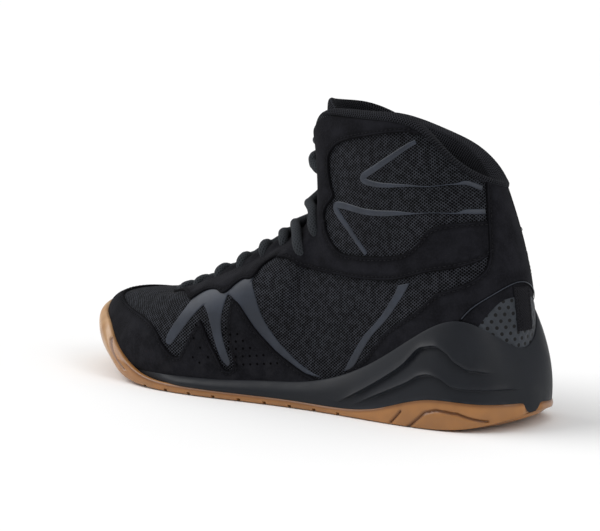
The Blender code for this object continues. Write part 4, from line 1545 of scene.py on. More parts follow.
        loops += [last.edge_point(u, hidden, level) for level in (sunk, ledge)]
        loops += [heel, heel + (foot - heel) * 0.5, foot]
        for level in self.crest_levels(ledge, low, high, cup):
            f = ((level - ledge) / height)[:, None]
            curve = foot * (1 - f) ** 2 + 2 * middle * f * (1 - f) + top * f**2
            back = low_share * self.set_back(level - low) + high_share * self.set_back(level - high)
            back *= smooth_step(0, 2 * MM, cup - level) * smooth_step(0, 1.5 * MM, level - ledge)
            loops.append(curve - out * back[:, None])
        inner = self.wall_at(seat + (cup - seat) * 0.98, 0.1 * MM)
        up = np.array([0, 0, 0.25 * MM])
        loops += [top + (inner - top) * f + up * math.sin(math.pi * f) for f in (0.05, 0.35, 0.7)]
        loops += [inner, *(self.wall_at(seat + (cup - seat) * f, gap * 0.3) for f in (0.66, 0.33))]
        loops += [last.edge_point(u, last.inset(u) - gap, seat), self.middle_ring(seat)]
        piece = self.loft("midsole_cup", loops)
        smoothed(piece, 50)
        return finished(piece, palette.foam, "charcoal_foam", "midsole")

    def insole(self, palette: Palette) -> Piece:
        """Foam sheet inside, its top edge rounded.

        Args:
            palette: The finishes.

        Returns:
            The new piece.
        """
        last, u = self.last, self.u
        low = last.heights["seat"](u) + last.gap
        inset = last.inset(u) + 3.05 * MM
        profile = ((0.0, 0.0), (0.0, 2.4 * MM), (0.4 * MM, 3.1 * MM), (1.2 * MM, 3.5 * MM))
        loops = [self.middle_ring(low)]
        loops += [last.edge_point(u, inset + step, low + rise) for step, rise in profile]
        loops.append(self.middle_ring(low + 3.3 * MM))
        piece = self.loft("insole_sheet", loops)
        smoothed(piece, 60)
        return finished(piece, palette.insole, "insole_foam", "insole")


# Upper, lining and tongue


@dataclass
class Shell:
    """The hollow cloth wall."""

    last: Last
    wall: float = 2.0 * MM
    samples: int = 12  # Sections between two rows
    steps: int = 72  # Steps from foot to rim

    def build(self, palette: Palette) -> Piece:
        """The wall with its flat map in millimetres.

        Args:
            palette: The finishes.

        Returns:
            The new piece.
        """
        u = np.arange(ROWS * self.samples) / self.samples
        shares = np.linspace(0, 1, self.steps + 1)
        piece = grid_piece("upper_mesh", self.last.skin(u[:, None], shares[None, :]), wrap=True)
        depth = len(shares)
        for edge in piece.data.edges:
            rows = {vertex // depth for vertex in edge.vertices}
            edge.use_seam = rows == {0} or rows == {TOE * self.samples}
        edit_all(piece, bpy.ops.uv.unwrap, method="CONFORMAL", margin=0.001)
        self.to_millimetres(piece)
        walls = 2 * len(piece.data.loops)
        modify(piece, "SOLIDIFY", thickness=self.wall, offset=-1.0)
        for corner in piece.data.uv_layers.active.data[walls:]:
            corner.uv = (0.95, 0.3)
        smoothed(piece, 60)
        return finished(piece, palette.mesh, "mesh_cloth", "upper")

    @staticmethod
    def to_millimetres(piece: Piece) -> None:
        """Scales a flat map so that its unit is a millimetre on the piece.

        Args:
            piece: The piece with the map.
        """
        layer = piece.data.uv_layers.active
        count = len(layer.data)
        flat = np.empty(count * 2, np.float32)
        layer.data.foreach_get("uv", flat)
        corners = flat.reshape(-1, 4, 2)
        one, two = corners[:, 2] - corners[:, 0], corners[:, 3] - corners[:, 1]
        mapped = np.abs(one[:, 0] * two[:, 1] - one[:, 1] * two[:, 0]) / 2
        true = np.array([face.area for face in piece.data.polygons])
        factor = np.median(np.sqrt(true / np.maximum(mapped, 1e-12))) / MM
        layer.data.foreach_set("uv", flat * np.float32(factor))


@dataclass
class Lining:
    """Padded cuff inside the shaft, rolled over the collar."""

    last: Last
    reach: float = 4.25  # Rows that it covers on each side of the heel
    pad: float = 4.6 * MM  # Thickness of its padding
    roll: float = 2.7 * MM  # How far it stands above the rim
    depth: float = 0.34  # How far down it goes, as a share of the wall
    drop: float = 2.4 * MM  # How much lower it lies at the lateral front
    wall: float = 2.0 * MM  # Thickness of the wall that it lines
    front: float = 1.8 * MM  # How far its outer edge stands in front of the wall
    rise: float = 0.7 * MM  # Height over the rim at which its roll starts
    samples: int = 14  # Sections between two rows

    def build(self, palette: Palette) -> Piece:
        """The cuff as a closed body along the collar.

        Args:
            palette: The finishes.

        Returns:
            The new piece.
        """
        last = self.last
        u = np.linspace(-self.reach, self.reach, round(2 * self.reach * self.samples) + 1)
        run = last.run(u)
        inside = -(self.wall + last.gap)
        ends = np.sqrt(np.clip(1 - (np.abs(u) / (self.reach + 0.02)) ** 12, 0.02, 1))
        low = 1 - 0.75 * smooth_step(-1.2, -2.2, u)
        drop = self.drop * smooth_step(2.7, 3.7, u)
        profile = [(-1.2 * MM - drop, 0.15 * MM), (-0.4 * MM - drop, 1.3 * MM)]
        profile.append((self.rise * low - drop, self.front))
        middle = (self.front + inside - self.pad) / 2
        wide = (self.front - inside + self.pad) / 2
        for turn in np.linspace(0, math.pi, 11)[1:-1]:
            rise = (self.rise + self.roll * math.sin(turn)) * low - drop
            profile.append((rise, middle + wide * math.cos(turn)))
        loops = []
        for rise, lift in profile:
            loops.append(last.skin(u, 1 + rise / run * ends, lift * ends + inside * (1 - ends)))
        for share in np.linspace(0, 1, 12):
            lift = inside - self.pad * (1 + 0.25 * math.sin(math.pi * min(1.0, share * 2.5)))
            taper = min(1.0, (1 - share) * 6)
            loops.append(last.skin(u, 1 - share * self.depth, inside + (lift - inside) * taper * ends))
        loops.append(last.skin(u, np.full(len(u), 1 - self.depth), inside))
        loops.append(last.skin(u, np.full(len(u), 0.985), inside))
        points = np.stack(loops, axis=1)
        count, around = points.shape[:2]
        piece = mesh_piece("collar_lining_cuff", points, hose_faces(count, around))
        along = run_of(points[:, 2])
        across = run_of(points[count // 2])
        flat = np.stack(np.broadcast_arrays(along[:, None], across[None, :]), axis=-1) / MM
        flat_map(piece, flat)
        face_out(piece)
        smoothed(piece, 80)
        return finished(piece, palette.lining, "lining_cloth", "collar_lining")


@dataclass
class Tongue:
    """Padded sheet under the throat, standing above the collar's front."""

    last: Last
    rows: Point2 = (11.0, 5.0)  # Rows of its foot and of the throat's upper end
    thick: float = 4.5 * MM
    crown: float = 1.2 * MM  # How far its middle bows out
    # Rise, lean, lift and wrap of the edges in millimetres, width, and share of the wing, row by row
    tops: tuple[tuple[float, ...], ...] = (
        (9.0, 0.5, 0.5, 2.0, 0.92, 0.2),
        (17.0, 1.5, 2.0, 4.5, 0.92, 0.65),
        (23.5, 2.5, 3.0, 7.5, 0.93, 1.0),
    )
    # How far the medial corner runs back inside the collar at the top
    wing: tuple[float, float, float] = (-26.0, -4.0, -3.0)

    def build(self, palette: Palette) -> Piece:
        """The sheet, thickened and rounded.

        Args:
            palette: The finishes.

        Returns:
            The new piece.
        """
        last = self.last
        u = np.linspace(*self.rows, 19)
        sides = []
        for rows in (u, ROWS - u):
            grid = np.meshgrid(rows, (8 / 9, 1.0), indexing="ij")
            sides.append(last.skin(*grid, -(2.0 * MM + 2 * last.gap)))
        front = last.normal(u, np.ones(len(u))) + last.normal(ROWS - u, np.ones(len(u)))
        bow = self.crown * (1 - smooth_step(9.0, 11.0, u)) / np.linalg.norm(front, axis=-1)
        front = front * bow[:, None]
        crown = (sides[0][:, -1] + sides[1][:, -1]) / 2 + front
        between = [(crown + side[:, -1]) / 2 + front / 4 for side in sides]
        lateral, medial = np.moveaxis(sides[0], 1, 0), np.moveaxis(sides[1], 1, 0)[::-1]
        points = np.stack([*lateral, between[0], crown, between[1], *medial], axis=1)
        middle = points[-1:, 3:4]
        spread = points[-1:] - middle
        edges = (spread[..., 1:2] / np.abs(spread[..., 1:2]).max()) ** 2
        rows = [points[:1] + np.array([8 * MM, 0, -3 * MM]), points]
        flap = np.array([0, 0, 0, 0, 0.08, 0.45, 1.0])[None, :, None] * np.array(self.wing)
        for rise, lean, lift, wrap, width, share in self.tops:
            shift = np.array([lean, 0, rise]) + edges * np.array([-wrap, 0, lift]) + flap * share
            rows.append(middle + spread * np.array([1, width, 1]) + shift * MM)
        points = np.concatenate(rows)[::-1]
        across = run_of(points[0])
        along = run_of(points[:, 3])
        flat = np.stack(np.broadcast_arrays(across[None, :], along[:, None]), axis=-1) / MM
        piece = grid_piece("tongue_pad", points, uv=flat)
        modify(piece, "SOLIDIFY", thickness=self.thick, offset=-1.0)
        modify(piece, "SUBSURF", levels=3, render_levels=3)
        smoothed(piece)
        return finished(piece, palette.tongue, "tongue_cloth", "tongue")


@dataclass(frozen=True)
class Eyelet:
    """One hole of the lacing."""

    rim: float  # Row where its lace passes the throat's edge
    row: float  # Row of the hole
    share: float  # Share of the hole
    rise: float = 1.2 * MM  # How far its lace is raised over the facing


EYELETS = (
    Eyelet(10.3, 10.24, 0.89),
    Eyelet(9.65, 9.58, 0.89),
    Eyelet(9.0, 8.92, 0.89),
    Eyelet(8.4, 8.31, 0.89),
    Eyelet(7.8, 7.7, 0.9),
    Eyelet(7.3, 7.18, 0.9, 2.0 * MM),
    Eyelet(6.98, 6.08, 0.68, 3.2 * MM),
    Eyelet(6.4, 5.3, 0.66, 3.2 * MM),
    Eyelet(5.35, 5.25, 0.92, 1.6 * MM),
)
LOBES = tuple((one.rim + two.rim) / 2 for one, two in zip(EYELETS[:5], EYELETS[1:6]))


# Panels cut to outlines and laid on the last


@dataclass(frozen=True)
class Edge:
    """A smooth run of a panel's outline, by rows and shares of the lateral side."""

    points: tuple[Point2, ...]  # The points it passes
    sewn: bool = False  # Whether a seam follows it
    flush: bool = False  # Whether another panel goes on there at the same height


@dataclass
class Panel:
    """A sheet on the wall, cut to an outline."""

    name: str
    last: Last
    edges: tuple[Edge, ...]  # The outline, counter-clockwise in rows and shares as seen from inside the shoe
    thick: float = 1.4 * MM
    base: float = 0.1 * MM  # How far its underside stands off the wall
    side: Side = Side.LATERAL
    spacing: float = 1.3 * MM  # Step along the outline
    inner: float = 2.6 * MM  # Step of the points inside
    round_: float = 0.9 * MM  # Radius of its rounded edge
    # Rows, counted from the heel, between which it thins to pass under the backstay
    thin: Point2 | None = None
    seam_inset: float = 1.9 * MM  # Distance of a seam from the outline
    # Distances of the rings of points inside the outline, and the least ones kept, in millimetres
    rings: tuple[Point2, ...] = ((0.3, 0.24), (0.65, 0.54), (1.1, 0.95), (1.7, 1.5), (2.3, 2.1))
    clear: float = 3.2  # The least distance of the other points from the outline, in millimetres

    @cached_property
    def outline(self) -> tuple[Array, Array, Array]:
        """Points of the outline at even steps, and whether each lies on a sewn edge, and on an open one."""
        points, sewn, open_ = [], [], []
        for edge in self.edges:
            line = rounded(edge.points, 14) if len(edge.points) > 2 else np.linspace(*edge.points, 40)
            line[:, 0] = self.side.place(line[:, 0])
            line = evenly(line, self.last.bare(line), self.spacing)[:-1]
            points.append(line)
            sewn += [edge.sewn] * len(line)
            open_ += [not edge.flush] * len(line)
        return np.vstack(points), np.array(sewn), np.array(open_)

    def flat(self, points: Array) -> Array:
        """Points spread on a plane, near to their true distances.

        Args:
            points: Rows and shares.

        Returns:
            Flat places, in metres.
        """
        rows = np.arange(-6, ROWS + 7) * 1.0
        ring = self.last.sample(self.last.grid, rows, np.full(len(rows), 0.4))
        along = run_of(ring)
        u = points[:, 0]
        return np.stack([np.interp(u, rows, along), points[:, 1] * self.last.run(u)], axis=1)

    def moved(self, points: Array, directions: Array, distance: float) -> Array:
        """Rows and shares of points moved along the wall by a distance in space.

        Args:
            points: Rows and shares.
            directions: A direction for each.
            distance: How far they move.

        Returns:
            The new rows and shares.
        """
        along, upward = self.last.jacobian(points[:, 0], points[:, 1])
        pairs = ((along, along), (along, upward), (upward, upward), (along, directions), (upward, directions))
        a, b, c, x, y = (np.einsum("ij,ij->i", one, two) for one, two in pairs)
        det = a * c - b * b
        return points + distance * np.stack([(c * x - b * y) / det, (a * y - b * x) / det], axis=1)

    def inward(self, line: Array) -> Array:
        """Directions in space that point from the outline into the panel.

        Args:
            line: Rows and shares of the outline.

        Returns:
            A direction for each point.
        """
        place = self.last.bare(line)
        tangent = np.roll(place, -1, axis=0) - np.roll(place, 1, axis=0)
        inner = np.cross(tangent, self.last.facing(line))
        inner /= np.maximum(np.linalg.norm(inner, axis=1, keepdims=True), 1e-9)
        plane = self.flat(line)
        area = np.sum(plane[:, 0] * np.roll(plane[:, 1], -1) - np.roll(plane[:, 0], -1) * plane[:, 1])
        return inner * np.sign(area)

    def inside(self, line: Array, rim: Array) -> Array:
        """Points of the sheet: its outline, rings along it, and a staggered field within.

        Args:
            line: Rows and shares of the outline.
            rim: Its places on the wall.

        Returns:
            Rows and shares, those of the outline first.
        """
        inner = self.inward(line)
        low, high = line.min(axis=0), line.max(axis=0)
        mean = self.last.run(np.array([line[:, 0].mean()]))[0]
        spread = self.flat(np.array([low, high]))
        along = np.linspace(low[0], high[0], int((spread[1, 0] - spread[0, 0]) / self.inner) + 2)
        upward = np.linspace(low[1], high[1], int((high[1] - low[1]) * mean / self.inner) + 2)
        u, t = np.meshgrid(along, upward, indexing="ij")
        t[1::2] += (high[1] - low[1]) / len(upward) / 2
        groups = [(self.moved(line, inner, distance * MM), least) for distance, least in self.rings]
        groups.append((np.stack([u.ravel(), t.ravel()], axis=1), self.clear))
        kept = [points[nearest(self.last.bare(points), rim) > least * MM] for points, least in groups]
        return np.vstack([line, *kept])

    def build(self) -> Piece:
        """The sheet: its face, rounded edge and underside."""
        line, sewn, open_ = self.outline
        rim = self.last.bare(line)
        points = self.inside(line, rim)
        plane = [Vector(point) for point in self.flat(points)]
        border = [(i, (i + 1) % len(line)) for i in range(len(line))]
        made = delaunay_2d_cdt(plane, border, [], 1, 1e-7)
        points = points[[ids[0] if ids else 0 for ids in made[3]]]
        place = self.last.bare(points)
        away = nearest(place, rim[open_])
        lift = self.base + self.thick * self.profile(away)
        if self.thin:
            rows = np.minimum(points[:, 0], ROWS - points[:, 0])
            lift -= (lift - self.base) * 0.5 * smooth_step(*self.thin, rows)
        # Painted shade along the open edges, partly the raw edge's own dark; the suede reads it as the seam
        # values.
        dark = np.exp(-((away / (0.7 * MM)) ** 2))
        if sewn.any():
            off = nearest(place, rim[sewn]) - self.seam_inset
            trough = np.exp(-((off / (0.5 * MM)) ** 2))
            lift -= 0.3 * MM * trough
            # Painted shade in the seam trough too.
            dark = np.maximum(dark, 0.8 * trough)
        faces = [face[::-1] for face in made[2]]
        piece = mesh_piece(self.name, self.last.on(points, lift), faces)
        flat_map(piece, self.flat(points) / MM)
        # Kept as the points' seam values: painted shade for the suede.
        point_values(piece, "seam", dark)
        modify(piece, "SOLIDIFY", thickness=max(self.thick * 0.7, 0.25 * MM), offset=-1.0)
        return smoothed(piece, 70)

    def profile(self, away: Array) -> Array:
        """The share of the thickness at a distance from the outline."""
        inside = np.clip(away / self.round_, 0, 1)
        return 0.15 + 0.85 * np.sqrt(np.clip(1 - (1 - inside) ** 2, 0, 1))

    def seam(self) -> list[Array]:
        """Rows and shares of the seams, one line for each sewn run."""
        line, sewn, _ = self.outline
        moved = self.moved(line, self.inward(line), self.seam_inset)
        near = nearest(self.last.bare(moved), self.last.bare(line))
        good = sewn & (near > self.seam_inset * 0.86)
        if not good.any():
            return []
        first = int(np.argmin(good)) if not good.all() else 0
        order = np.roll(np.arange(len(line)), -first)
        runs, current = [], []
        for k in order:
            if good[k]:
                current.append(moved[k])
            elif current:
                runs.append(np.array(current))
                current = []
        if current:
            runs.append(np.array(current))
        return [run for run in runs if len(run) > 3]


@dataclass
class Stitches:
    """Threads of seams: small lozenges laid end to end."""

    last: Last
    pitch: float = 2.5 * MM  # Distance of the stitches
    length: float = 1.9 * MM  # Length of one
    width: float = 0.55 * MM

    def build(self, name: str, lines: Sequence[tuple[Array, float]], material: Material) -> Piece:
        """All stitches along lines, as one mesh.

        Args:
            name: The piece's name.
            lines: Rows and shares of each line, with its height over the wall.
            material: The thread.

        Returns:
            The new piece.
        """
        points, faces = [], []
        around = np.arange(6) * math.pi / 3
        for line, lift in lines:
            stops = evenly(line, self.last.bare(line), self.pitch)
            where = self.last.on(stops, lift)
            normal = self.last.facing(stops)
            along = unit(np.gradient(where, axis=0))
            across = np.cross(normal, along)
            for middle, n, a, c in zip(where, normal, along, across):
                start = sum(len(p) for p in points)
                ring = [c * math.cos(w) * self.width / 2 + n * math.sin(w) * self.width / 2.4 for w in around]
                body = [middle + a * f * self.length + r for f in (-0.3, 0.3) for r in ring]
                ends = [middle + a * f * self.length - n * 0.25 * MM for f in (-0.5, 0.5)]
                points.append(np.array(body + ends))
                for k in range(6):
                    j = (k + 1) % 6
                    faces.append([start + k, start + j, start + 6 + j, start + 6 + k])
                    faces.append([start + j, start + k, start + 12])
                    faces.append([start + 6 + k, start + 6 + j, start + 13])
        piece = mesh_piece(name, np.vstack(points), faces)
        smoothed(piece)
        return finished(piece, material, "suede")


@dataclass
class Overlays:
    """Every suede, film and webbing piece over the cloth wall, with seams and holes."""

    last: Last
    palette: Palette
    under: float = 3.0 * MM  # How far the lower edges run down behind the sole's side
    tab: float = 1.2 * MM  # How far the lobes of the eyestay stand past the rim
    notch: float = 2.4 * MM  # How far the laces draw its edge in
    sunk: float = 0.08 * MM  # How far the threads lie in the suede
    punch: float = 0.6 * MM  # Radius of a punched hole
    eyelet: float = 2.2 * MM  # Radius of an eyelet
    hole_lift: float = 1.66 * MM  # How far the holes stand off the wall
    # Rows and shares of the seams, with their heights over the wall
    seams: list[tuple[Array, float]] = field(default_factory=list)

    def foot(self, start: float, end: float, side: Side) -> tuple[Point2, ...]:
        """Points of an edge hidden behind the sole's side, between two rows.

        Args:
            start: The first row.
            end: The last row.
            side: The side of the shoe.

        Returns:
            Rows and shares.
        """
        rows = np.linspace(start, end, max(3, round(abs(end - start) * 8)))
        u = side.place(rows)
        top = np.maximum(self.last.heights["cup"](u), self.last.heights["gum"](u))
        shares = self.last.share_at(np.mod(u, ROWS), top - self.under)
        return tuple(zip(rows.tolist(), shares.tolist()))

    def sew(self, panel: Panel, material: Material, slot: str, *nodes: str) -> Piece:
        """Builds a panel and keeps its seams for stitching.

        Args:
            panel: The panel.
            material: Its finish.
            slot: Its slot.
            *nodes: Names of the solids.

        Returns:
            The new piece.
        """
        piece = panel.build()
        height = panel.base + panel.thick - self.sunk
        self.seams += [(line, height) for line in panel.seam()]
        return finished(piece, material, slot, *nodes)

    def toe_guard(self) -> Piece:
        """One scalloped suede guard round the toe and along both sides."""
        half = [
            (
                (12.0, 0.41), (11.4, 0.415), (10.8, 0.42), (10.2, 0.418), (9.75, 0.408), (9.36, 0.385),
                (9.0, 0.345), (8.76, 0.3), (8.56, 0.245), (8.4, 0.195), (8.24, 0.155), (8.08, 0.125),
                (7.97, 0.13),
            ),
            ((7.97, 0.13), (7.91, 0.19), (7.85, 0.29), (7.81, 0.375)),
            (
                (7.81, 0.375), (7.66, 0.335), (7.36, 0.235), (7.1, 0.145), (6.92, 0.078), (6.78, 0.058),
                (6.67, 0.08),
            ),
            (
                (6.67, 0.08), (6.71, 0.12), (6.84, 0.185), (7.0, 0.275), (7.15, 0.375), (7.27, 0.46),
                (7.33, 0.51),
            ),
            (
                (7.33, 0.51), (7.1, 0.47), (6.82, 0.4), (6.45, 0.305), (6.17, 0.24), (5.75, 0.155),
                (5.36, 0.095), (5.0, 0.048), (4.62, 0.012),
            ),
        ]
        other = [mirrored(run, ROWS) for run in half[::-1]]
        foot = self.foot(4.62, 12.0, Side.LATERAL) + self.foot(12.2, 19.38, Side.LATERAL)
        edges = [Edge(foot), Edge((foot[-1], other[0][0])), *(Edge(run, True) for run in other + half)]
        edges.append(Edge((half[-1][-1], foot[0])))
        nodes = ["toe_cap"] + [f"side_panel_{p}_{s.value}" for p in ("front", "rear") for s in Side]
        panel = Panel("toe_guard", self.last, tuple(edges))
        return self.sew(panel, self.palette.suede, "suede", *nodes)

    def tabs(self, side: Side) -> tuple[Point2, ...]:
        """The throat's edge with a rounded lobe between the laces, from the toe end up to the collar.

        Args:
            side: The side of the shoe.

        Returns:
            Rows and shares.
        """
        rows = [(11.0, 0.0), (10.65, self.tab)]
        for eyelet, lobe in zip(EYELETS, LOBES):
            rows += [(eyelet.rim, -self.notch), (lobe, self.tab)]
        rows += [(7.3, -self.notch), (7.12, 0.0), (6.95, -self.notch), (6.68, self.tab), (6.4, -self.notch)]
        rows += [(5.9, self.tab), (5.35, -self.notch), (4.95, self.tab)]
        run = self.last.run(side.place(np.array([row for row, _ in rows])))
        points = [(row, 1 + past / length) for (row, past), length in zip(rows, run)]
        return ((11.62, 0.985), *points, (4.68, 0.993))

    def eyestay(self, side: Side) -> Piece:
        """Lace facing with scalloped tabs, going on as the band along the collar.

        Args:
            side: The side of the shoe.

        Returns:
            The new piece.
        """
        throat = self.tabs(side)
        low = 0.978 if side is Side.LATERAL else 0.995
        top = ((4.3, low), (3.7, low), (3.2, (1 + low) / 2), (2.7, 1.0), (2.2, 1.0))
        lower = (
            (4.22, 0.602), (4.4, 0.607), (4.8, 0.622), (5.4, 0.652), (6.0, 0.687), (6.5, 0.717),
            (6.86, 0.745),
        )
        lobes = (
            (6.86, 0.748), (7.0, 0.757), (7.13, 0.738), (7.14, 0.7), (7.12, 0.662), (7.15, 0.632),
            (7.27, 0.634), (7.4, 0.643), (7.5, 0.617), (7.55, 0.58), (7.63, 0.556), (7.76, 0.566),
            (7.92, 0.595), (8.08, 0.612), (8.24, 0.61), (8.35, 0.575), (8.43, 0.545), (8.6, 0.575),
            (9.0, 0.66), (9.5, 0.735), (10.0, 0.8), (10.5, 0.845), (11.0, 0.885), (11.4, 0.92),
            (11.62, 0.945),
        )
        window = (
            (1.72, 0.995), (1.95, 0.983), (2.2, 0.972), (2.55, 0.955), (2.95, 0.935), (3.34, 0.905),
            (3.65, 0.875), (3.86, 0.835), (3.9, 0.8), (3.89, 0.76), (3.86, 0.72), (3.82, 0.69),
            (3.94, 0.668), (4.12, 0.65), (4.24, 0.63), (4.22, 0.602),
        )
        edges = (
            Edge(window, True), Edge(lower, flush=True), Edge(lobes, True), Edge((lobes[-1], throat[0])),
            Edge(throat), Edge((throat[-1], *top, (1.72, 1.0))), Edge(((1.72, 1.0), window[0])),
        )
        panel = Panel(f"eyestay_{side.value}_suede", self.last, edges, side=side)
        return self.sew(panel, self.palette.suede, "suede", f"eyestay_{side.value}")

    def ankle_band(self, side: Side) -> Piece:
        """Suede band under the ankle window.

        Args:
            side: The side of the shoe.

        Returns:
            The new piece.
        """
        lower = (
            (0.43, 0.66), (0.6, 0.628), (0.75, 0.6), (1.0, 0.562), (1.44, 0.505), (2.0, 0.45),
            (2.53, 0.41), (3.0, 0.395), (3.53, 0.39), (4.1, 0.405), (4.66, 0.44), (5.1, 0.483),
            (5.54, 0.53), (6.0, 0.6), (6.32, 0.66), (6.6, 0.705), (6.84, 0.738),
        )
        seam = (
            (6.84, 0.738), (6.5, 0.732), (6.0, 0.702), (5.4, 0.667), (4.8, 0.637), (4.4, 0.62),
            (4.24, 0.61),
        )
        window = (
            (4.24, 0.61), (4.18, 0.565), (3.97, 0.508), (3.7, 0.477), (3.17, 0.48), (2.48, 0.505),
            (2.09, 0.56), (1.77, 0.635), (1.28, 0.715), (0.9, 0.765), (0.62, 0.795), (0.43, 0.81),
        )
        edges = (Edge(lower, True), Edge(seam, flush=True), Edge(window, True), Edge((window[-1], lower[0])))
        panel = Panel(
            f"ankle_band_{side.value}_suede", self.last, edges, thick=1.34 * MM, side=side, thin=(0.95, 0.62)
        )
        return self.sew(panel, self.palette.suede, "suede", f"ankle_band_{side.value}")

    @staticmethod
    def between(low: tuple[Point2, ...], top: tuple[Point2, ...]) -> tuple[Edge, ...]:
        """The outline between a lower and an upper line."""
        return Edge(low), Edge((low[-1], top[-1])), Edge(top[::-1]), Edge((top[0], low[0]))

    def heel(self) -> list[Piece]:
        """Backstay and lower quarters, the patch under their arc, and the webbing."""
        half = ((0.41, 1.0), (0.44, 0.93), (0.49, 0.825), (0.53, 0.72), (0.57, 0.63))
        quarter = (
            (0.57, 0.63), (0.66, 0.572), (0.85, 0.52), (1.1, 0.475), (1.45, 0.425), (1.78, 0.38),
            (2.21, 0.3), (2.6, 0.25), (2.93, 0.205), (3.2, 0.15), (3.45, 0.1), (3.7, 0.07), (3.9, 0.05),
        )
        arc = ((0.0, 0.522), (0.15, 0.517), (0.38, 0.49), (0.73, 0.43), (1.0, 0.375), (1.22, 0.318))
        grey = ((0.0, 0.455), (0.19, 0.45), (0.46, 0.425), (0.75, 0.35), (0.92, 0.295))
        right, left = self.foot(1.35, 3.9, Side.LATERAL), mirrored(self.foot(1.35, 3.9, Side.MEDIAL))
        full, top = mirrored(arc) + arc[1:], mirrored(grey) + grey[1:]
        edges = (
            Edge((full[-1], right[0])), Edge(right), Edge((right[-1], quarter[-1])),
            Edge(quarter[::-1], True), Edge(half[::-1], True), Edge(((0.41, 1.0), (0.0, 1.0), (-0.41, 1.0))),
            Edge(mirrored(half)[::-1], True), Edge(mirrored(quarter)[::-1], True),
            Edge((mirrored(quarter)[0], left[0])), Edge(left), Edge((left[-1], full[0])), Edge(full),
        )
        counter = Panel("heel_counter_suede", self.last, edges)
        edges = self.between(self.foot(-1.3, 1.3, Side.LATERAL), full)
        base = Panel("heel_patch_base", self.last, edges, thick=0.7 * MM)
        edges = self.between(self.foot(-0.95, 0.95, Side.LATERAL), top)
        patch = Panel("heel_patch_film", self.last, edges, thick=0.4 * MM, base=0.75 * MM)
        corners = ((-0.2, 0.285), (0.2, 0.285), (0.2, 0.5), (-0.2, 0.5), (-0.2, 0.285))
        edges = tuple(Edge(run, run[0][0] == run[1][0]) for run in zip(corners, corners[1:]))
        strip = Panel("heel_strip_webbing", self.last, edges, thick=1.0 * MM, base=1.25 * MM)
        pieces = [
            self.sew(counter, self.palette.suede, "suede", "heel_counter"),
            self.sew(base, self.palette.suede, "suede"),
            self.sew(patch, self.palette.patch, "grey_patch", "heel_patch"),
            self.sew(strip, self.palette.webbing, "webbing", "heel_strip"),
        ]
        for share in (0.297, 0.312, 0.327, 0.342):
            self.seams.append((np.array([(-0.16, share), (0.0, share), (0.16, share)]), 2.2 * MM))
        widths = [0.5] * len(full)
        line = self.ribbon("heel_arc_line", full, widths, 1.55 * MM, Side.LATERAL, self.palette.film)
        return pieces + [line]

    def ribbon(
        self, name: str, points: Sequence[Point2], widths: Sequence[float], base: float, side: Side,
        material: Material,
    ) -> Piece:
        """A thin film along a line.

        Args:
            name: The piece's name.
            points: Rows and shares of its middle line.
            widths: Its width at each point, in millimetres.
            base: Its height over the wall.
            side: The side of the shoe.
            material: Its finish.

        Returns:
            The new piece.
        """
        line = rounded([(*p, w) for p, w in zip(points, widths)], 16)
        line[:, 0] = side.place(line[:, 0])
        line = evenly(line, self.last.bare(line), 0.8 * MM)
        along = np.gradient(self.last.on(line, base), axis=0)
        across = unit(np.cross(self.last.facing(line), along)) * line[:, 2:] * MM / 2
        finder = Panel(name, self.last, ())
        cross = []
        for f, h in ((-1, -0.1), (-0.8, 0.14), (-0.4, 0.2), (0, 0.2), (0.4, 0.2), (0.8, 0.14), (1, -0.1)):
            moved = finder.moved(line[:, :2], across, f)
            cross.append(self.last.on(moved, base + h * MM))
        piece = grid_piece(name, np.stack(cross, axis=1)[::-1])
        modify(piece, "SOLIDIFY", thickness=0.2 * MM, offset=-1.0)
        face_out(smoothed(piece, 60))
        return finished(piece, material, "grey_patch")

    def films(self, side: Side) -> list[Piece]:
        """Slate film strips on the side and the two marks on the ankle.

        Args:
            side: The side of the shoe.

        Returns:
            The new pieces.
        """
        hand = (
            (
                (7.13, 0.62), (6.72, 0.48), (6.27, 0.335), (5.8, 0.215), (5.38, 0.13), (4.98, 0.066),
                (4.58, 0.022),
            ),
            (
                (4.58, 0.022), (5.0, 0.043), (5.46, 0.085), (5.89, 0.15), (6.31, 0.24), (6.74, 0.37),
                (7.12, 0.462), (7.36, 0.52), (7.52, 0.545),
            ),
            (
                (7.52, 0.545), (7.45, 0.48), (7.32, 0.375), (7.13, 0.27), (6.93, 0.178), (6.78, 0.105),
                (6.82, 0.08),
            ),
            (
                (6.82, 0.08), (6.97, 0.115), (7.18, 0.2), (7.41, 0.3), (7.66, 0.395), (7.84, 0.452),
                (7.985, 0.485),
            ),
            ((7.985, 0.485), (8.05, 0.42), (8.1, 0.34), (8.17, 0.265), (8.25, 0.2)),
            ((8.25, 0.2), (8.34, 0.205), (8.42, 0.25), (8.4, 0.425), (8.42, 0.56), (8.42, 0.63)),
            ((8.42, 0.63), (8.0, 0.66), (7.6, 0.68), (7.3, 0.69), (7.13, 0.67)),
            ((7.13, 0.67), (7.13, 0.62)),
        )
        heel = (
            (
                (2.34, 0.4), (2.54, 0.345), (2.87, 0.26), (3.26, 0.185), (3.53, 0.12), (3.77, 0.06),
                (4.0, 0.045),
            ),
            ((4.0, 0.045), (3.78, 0.105), (3.46, 0.18), (3.06, 0.255), (2.76, 0.335), (2.61, 0.385)),
            ((2.61, 0.385), (2.34, 0.4)),
        )
        pieces = []
        for name, runs in (("film_hand", hand), ("film_heel", heel)):
            edges = tuple(Edge(run) for run in runs)
            panel = Panel(
                f"{name}_{side.value}", self.last, edges, 0.3 * MM, 0.12 * MM, side, round_=0.4 * MM
            )
            pieces.append(self.sew(panel, self.palette.film, "grey_patch"))
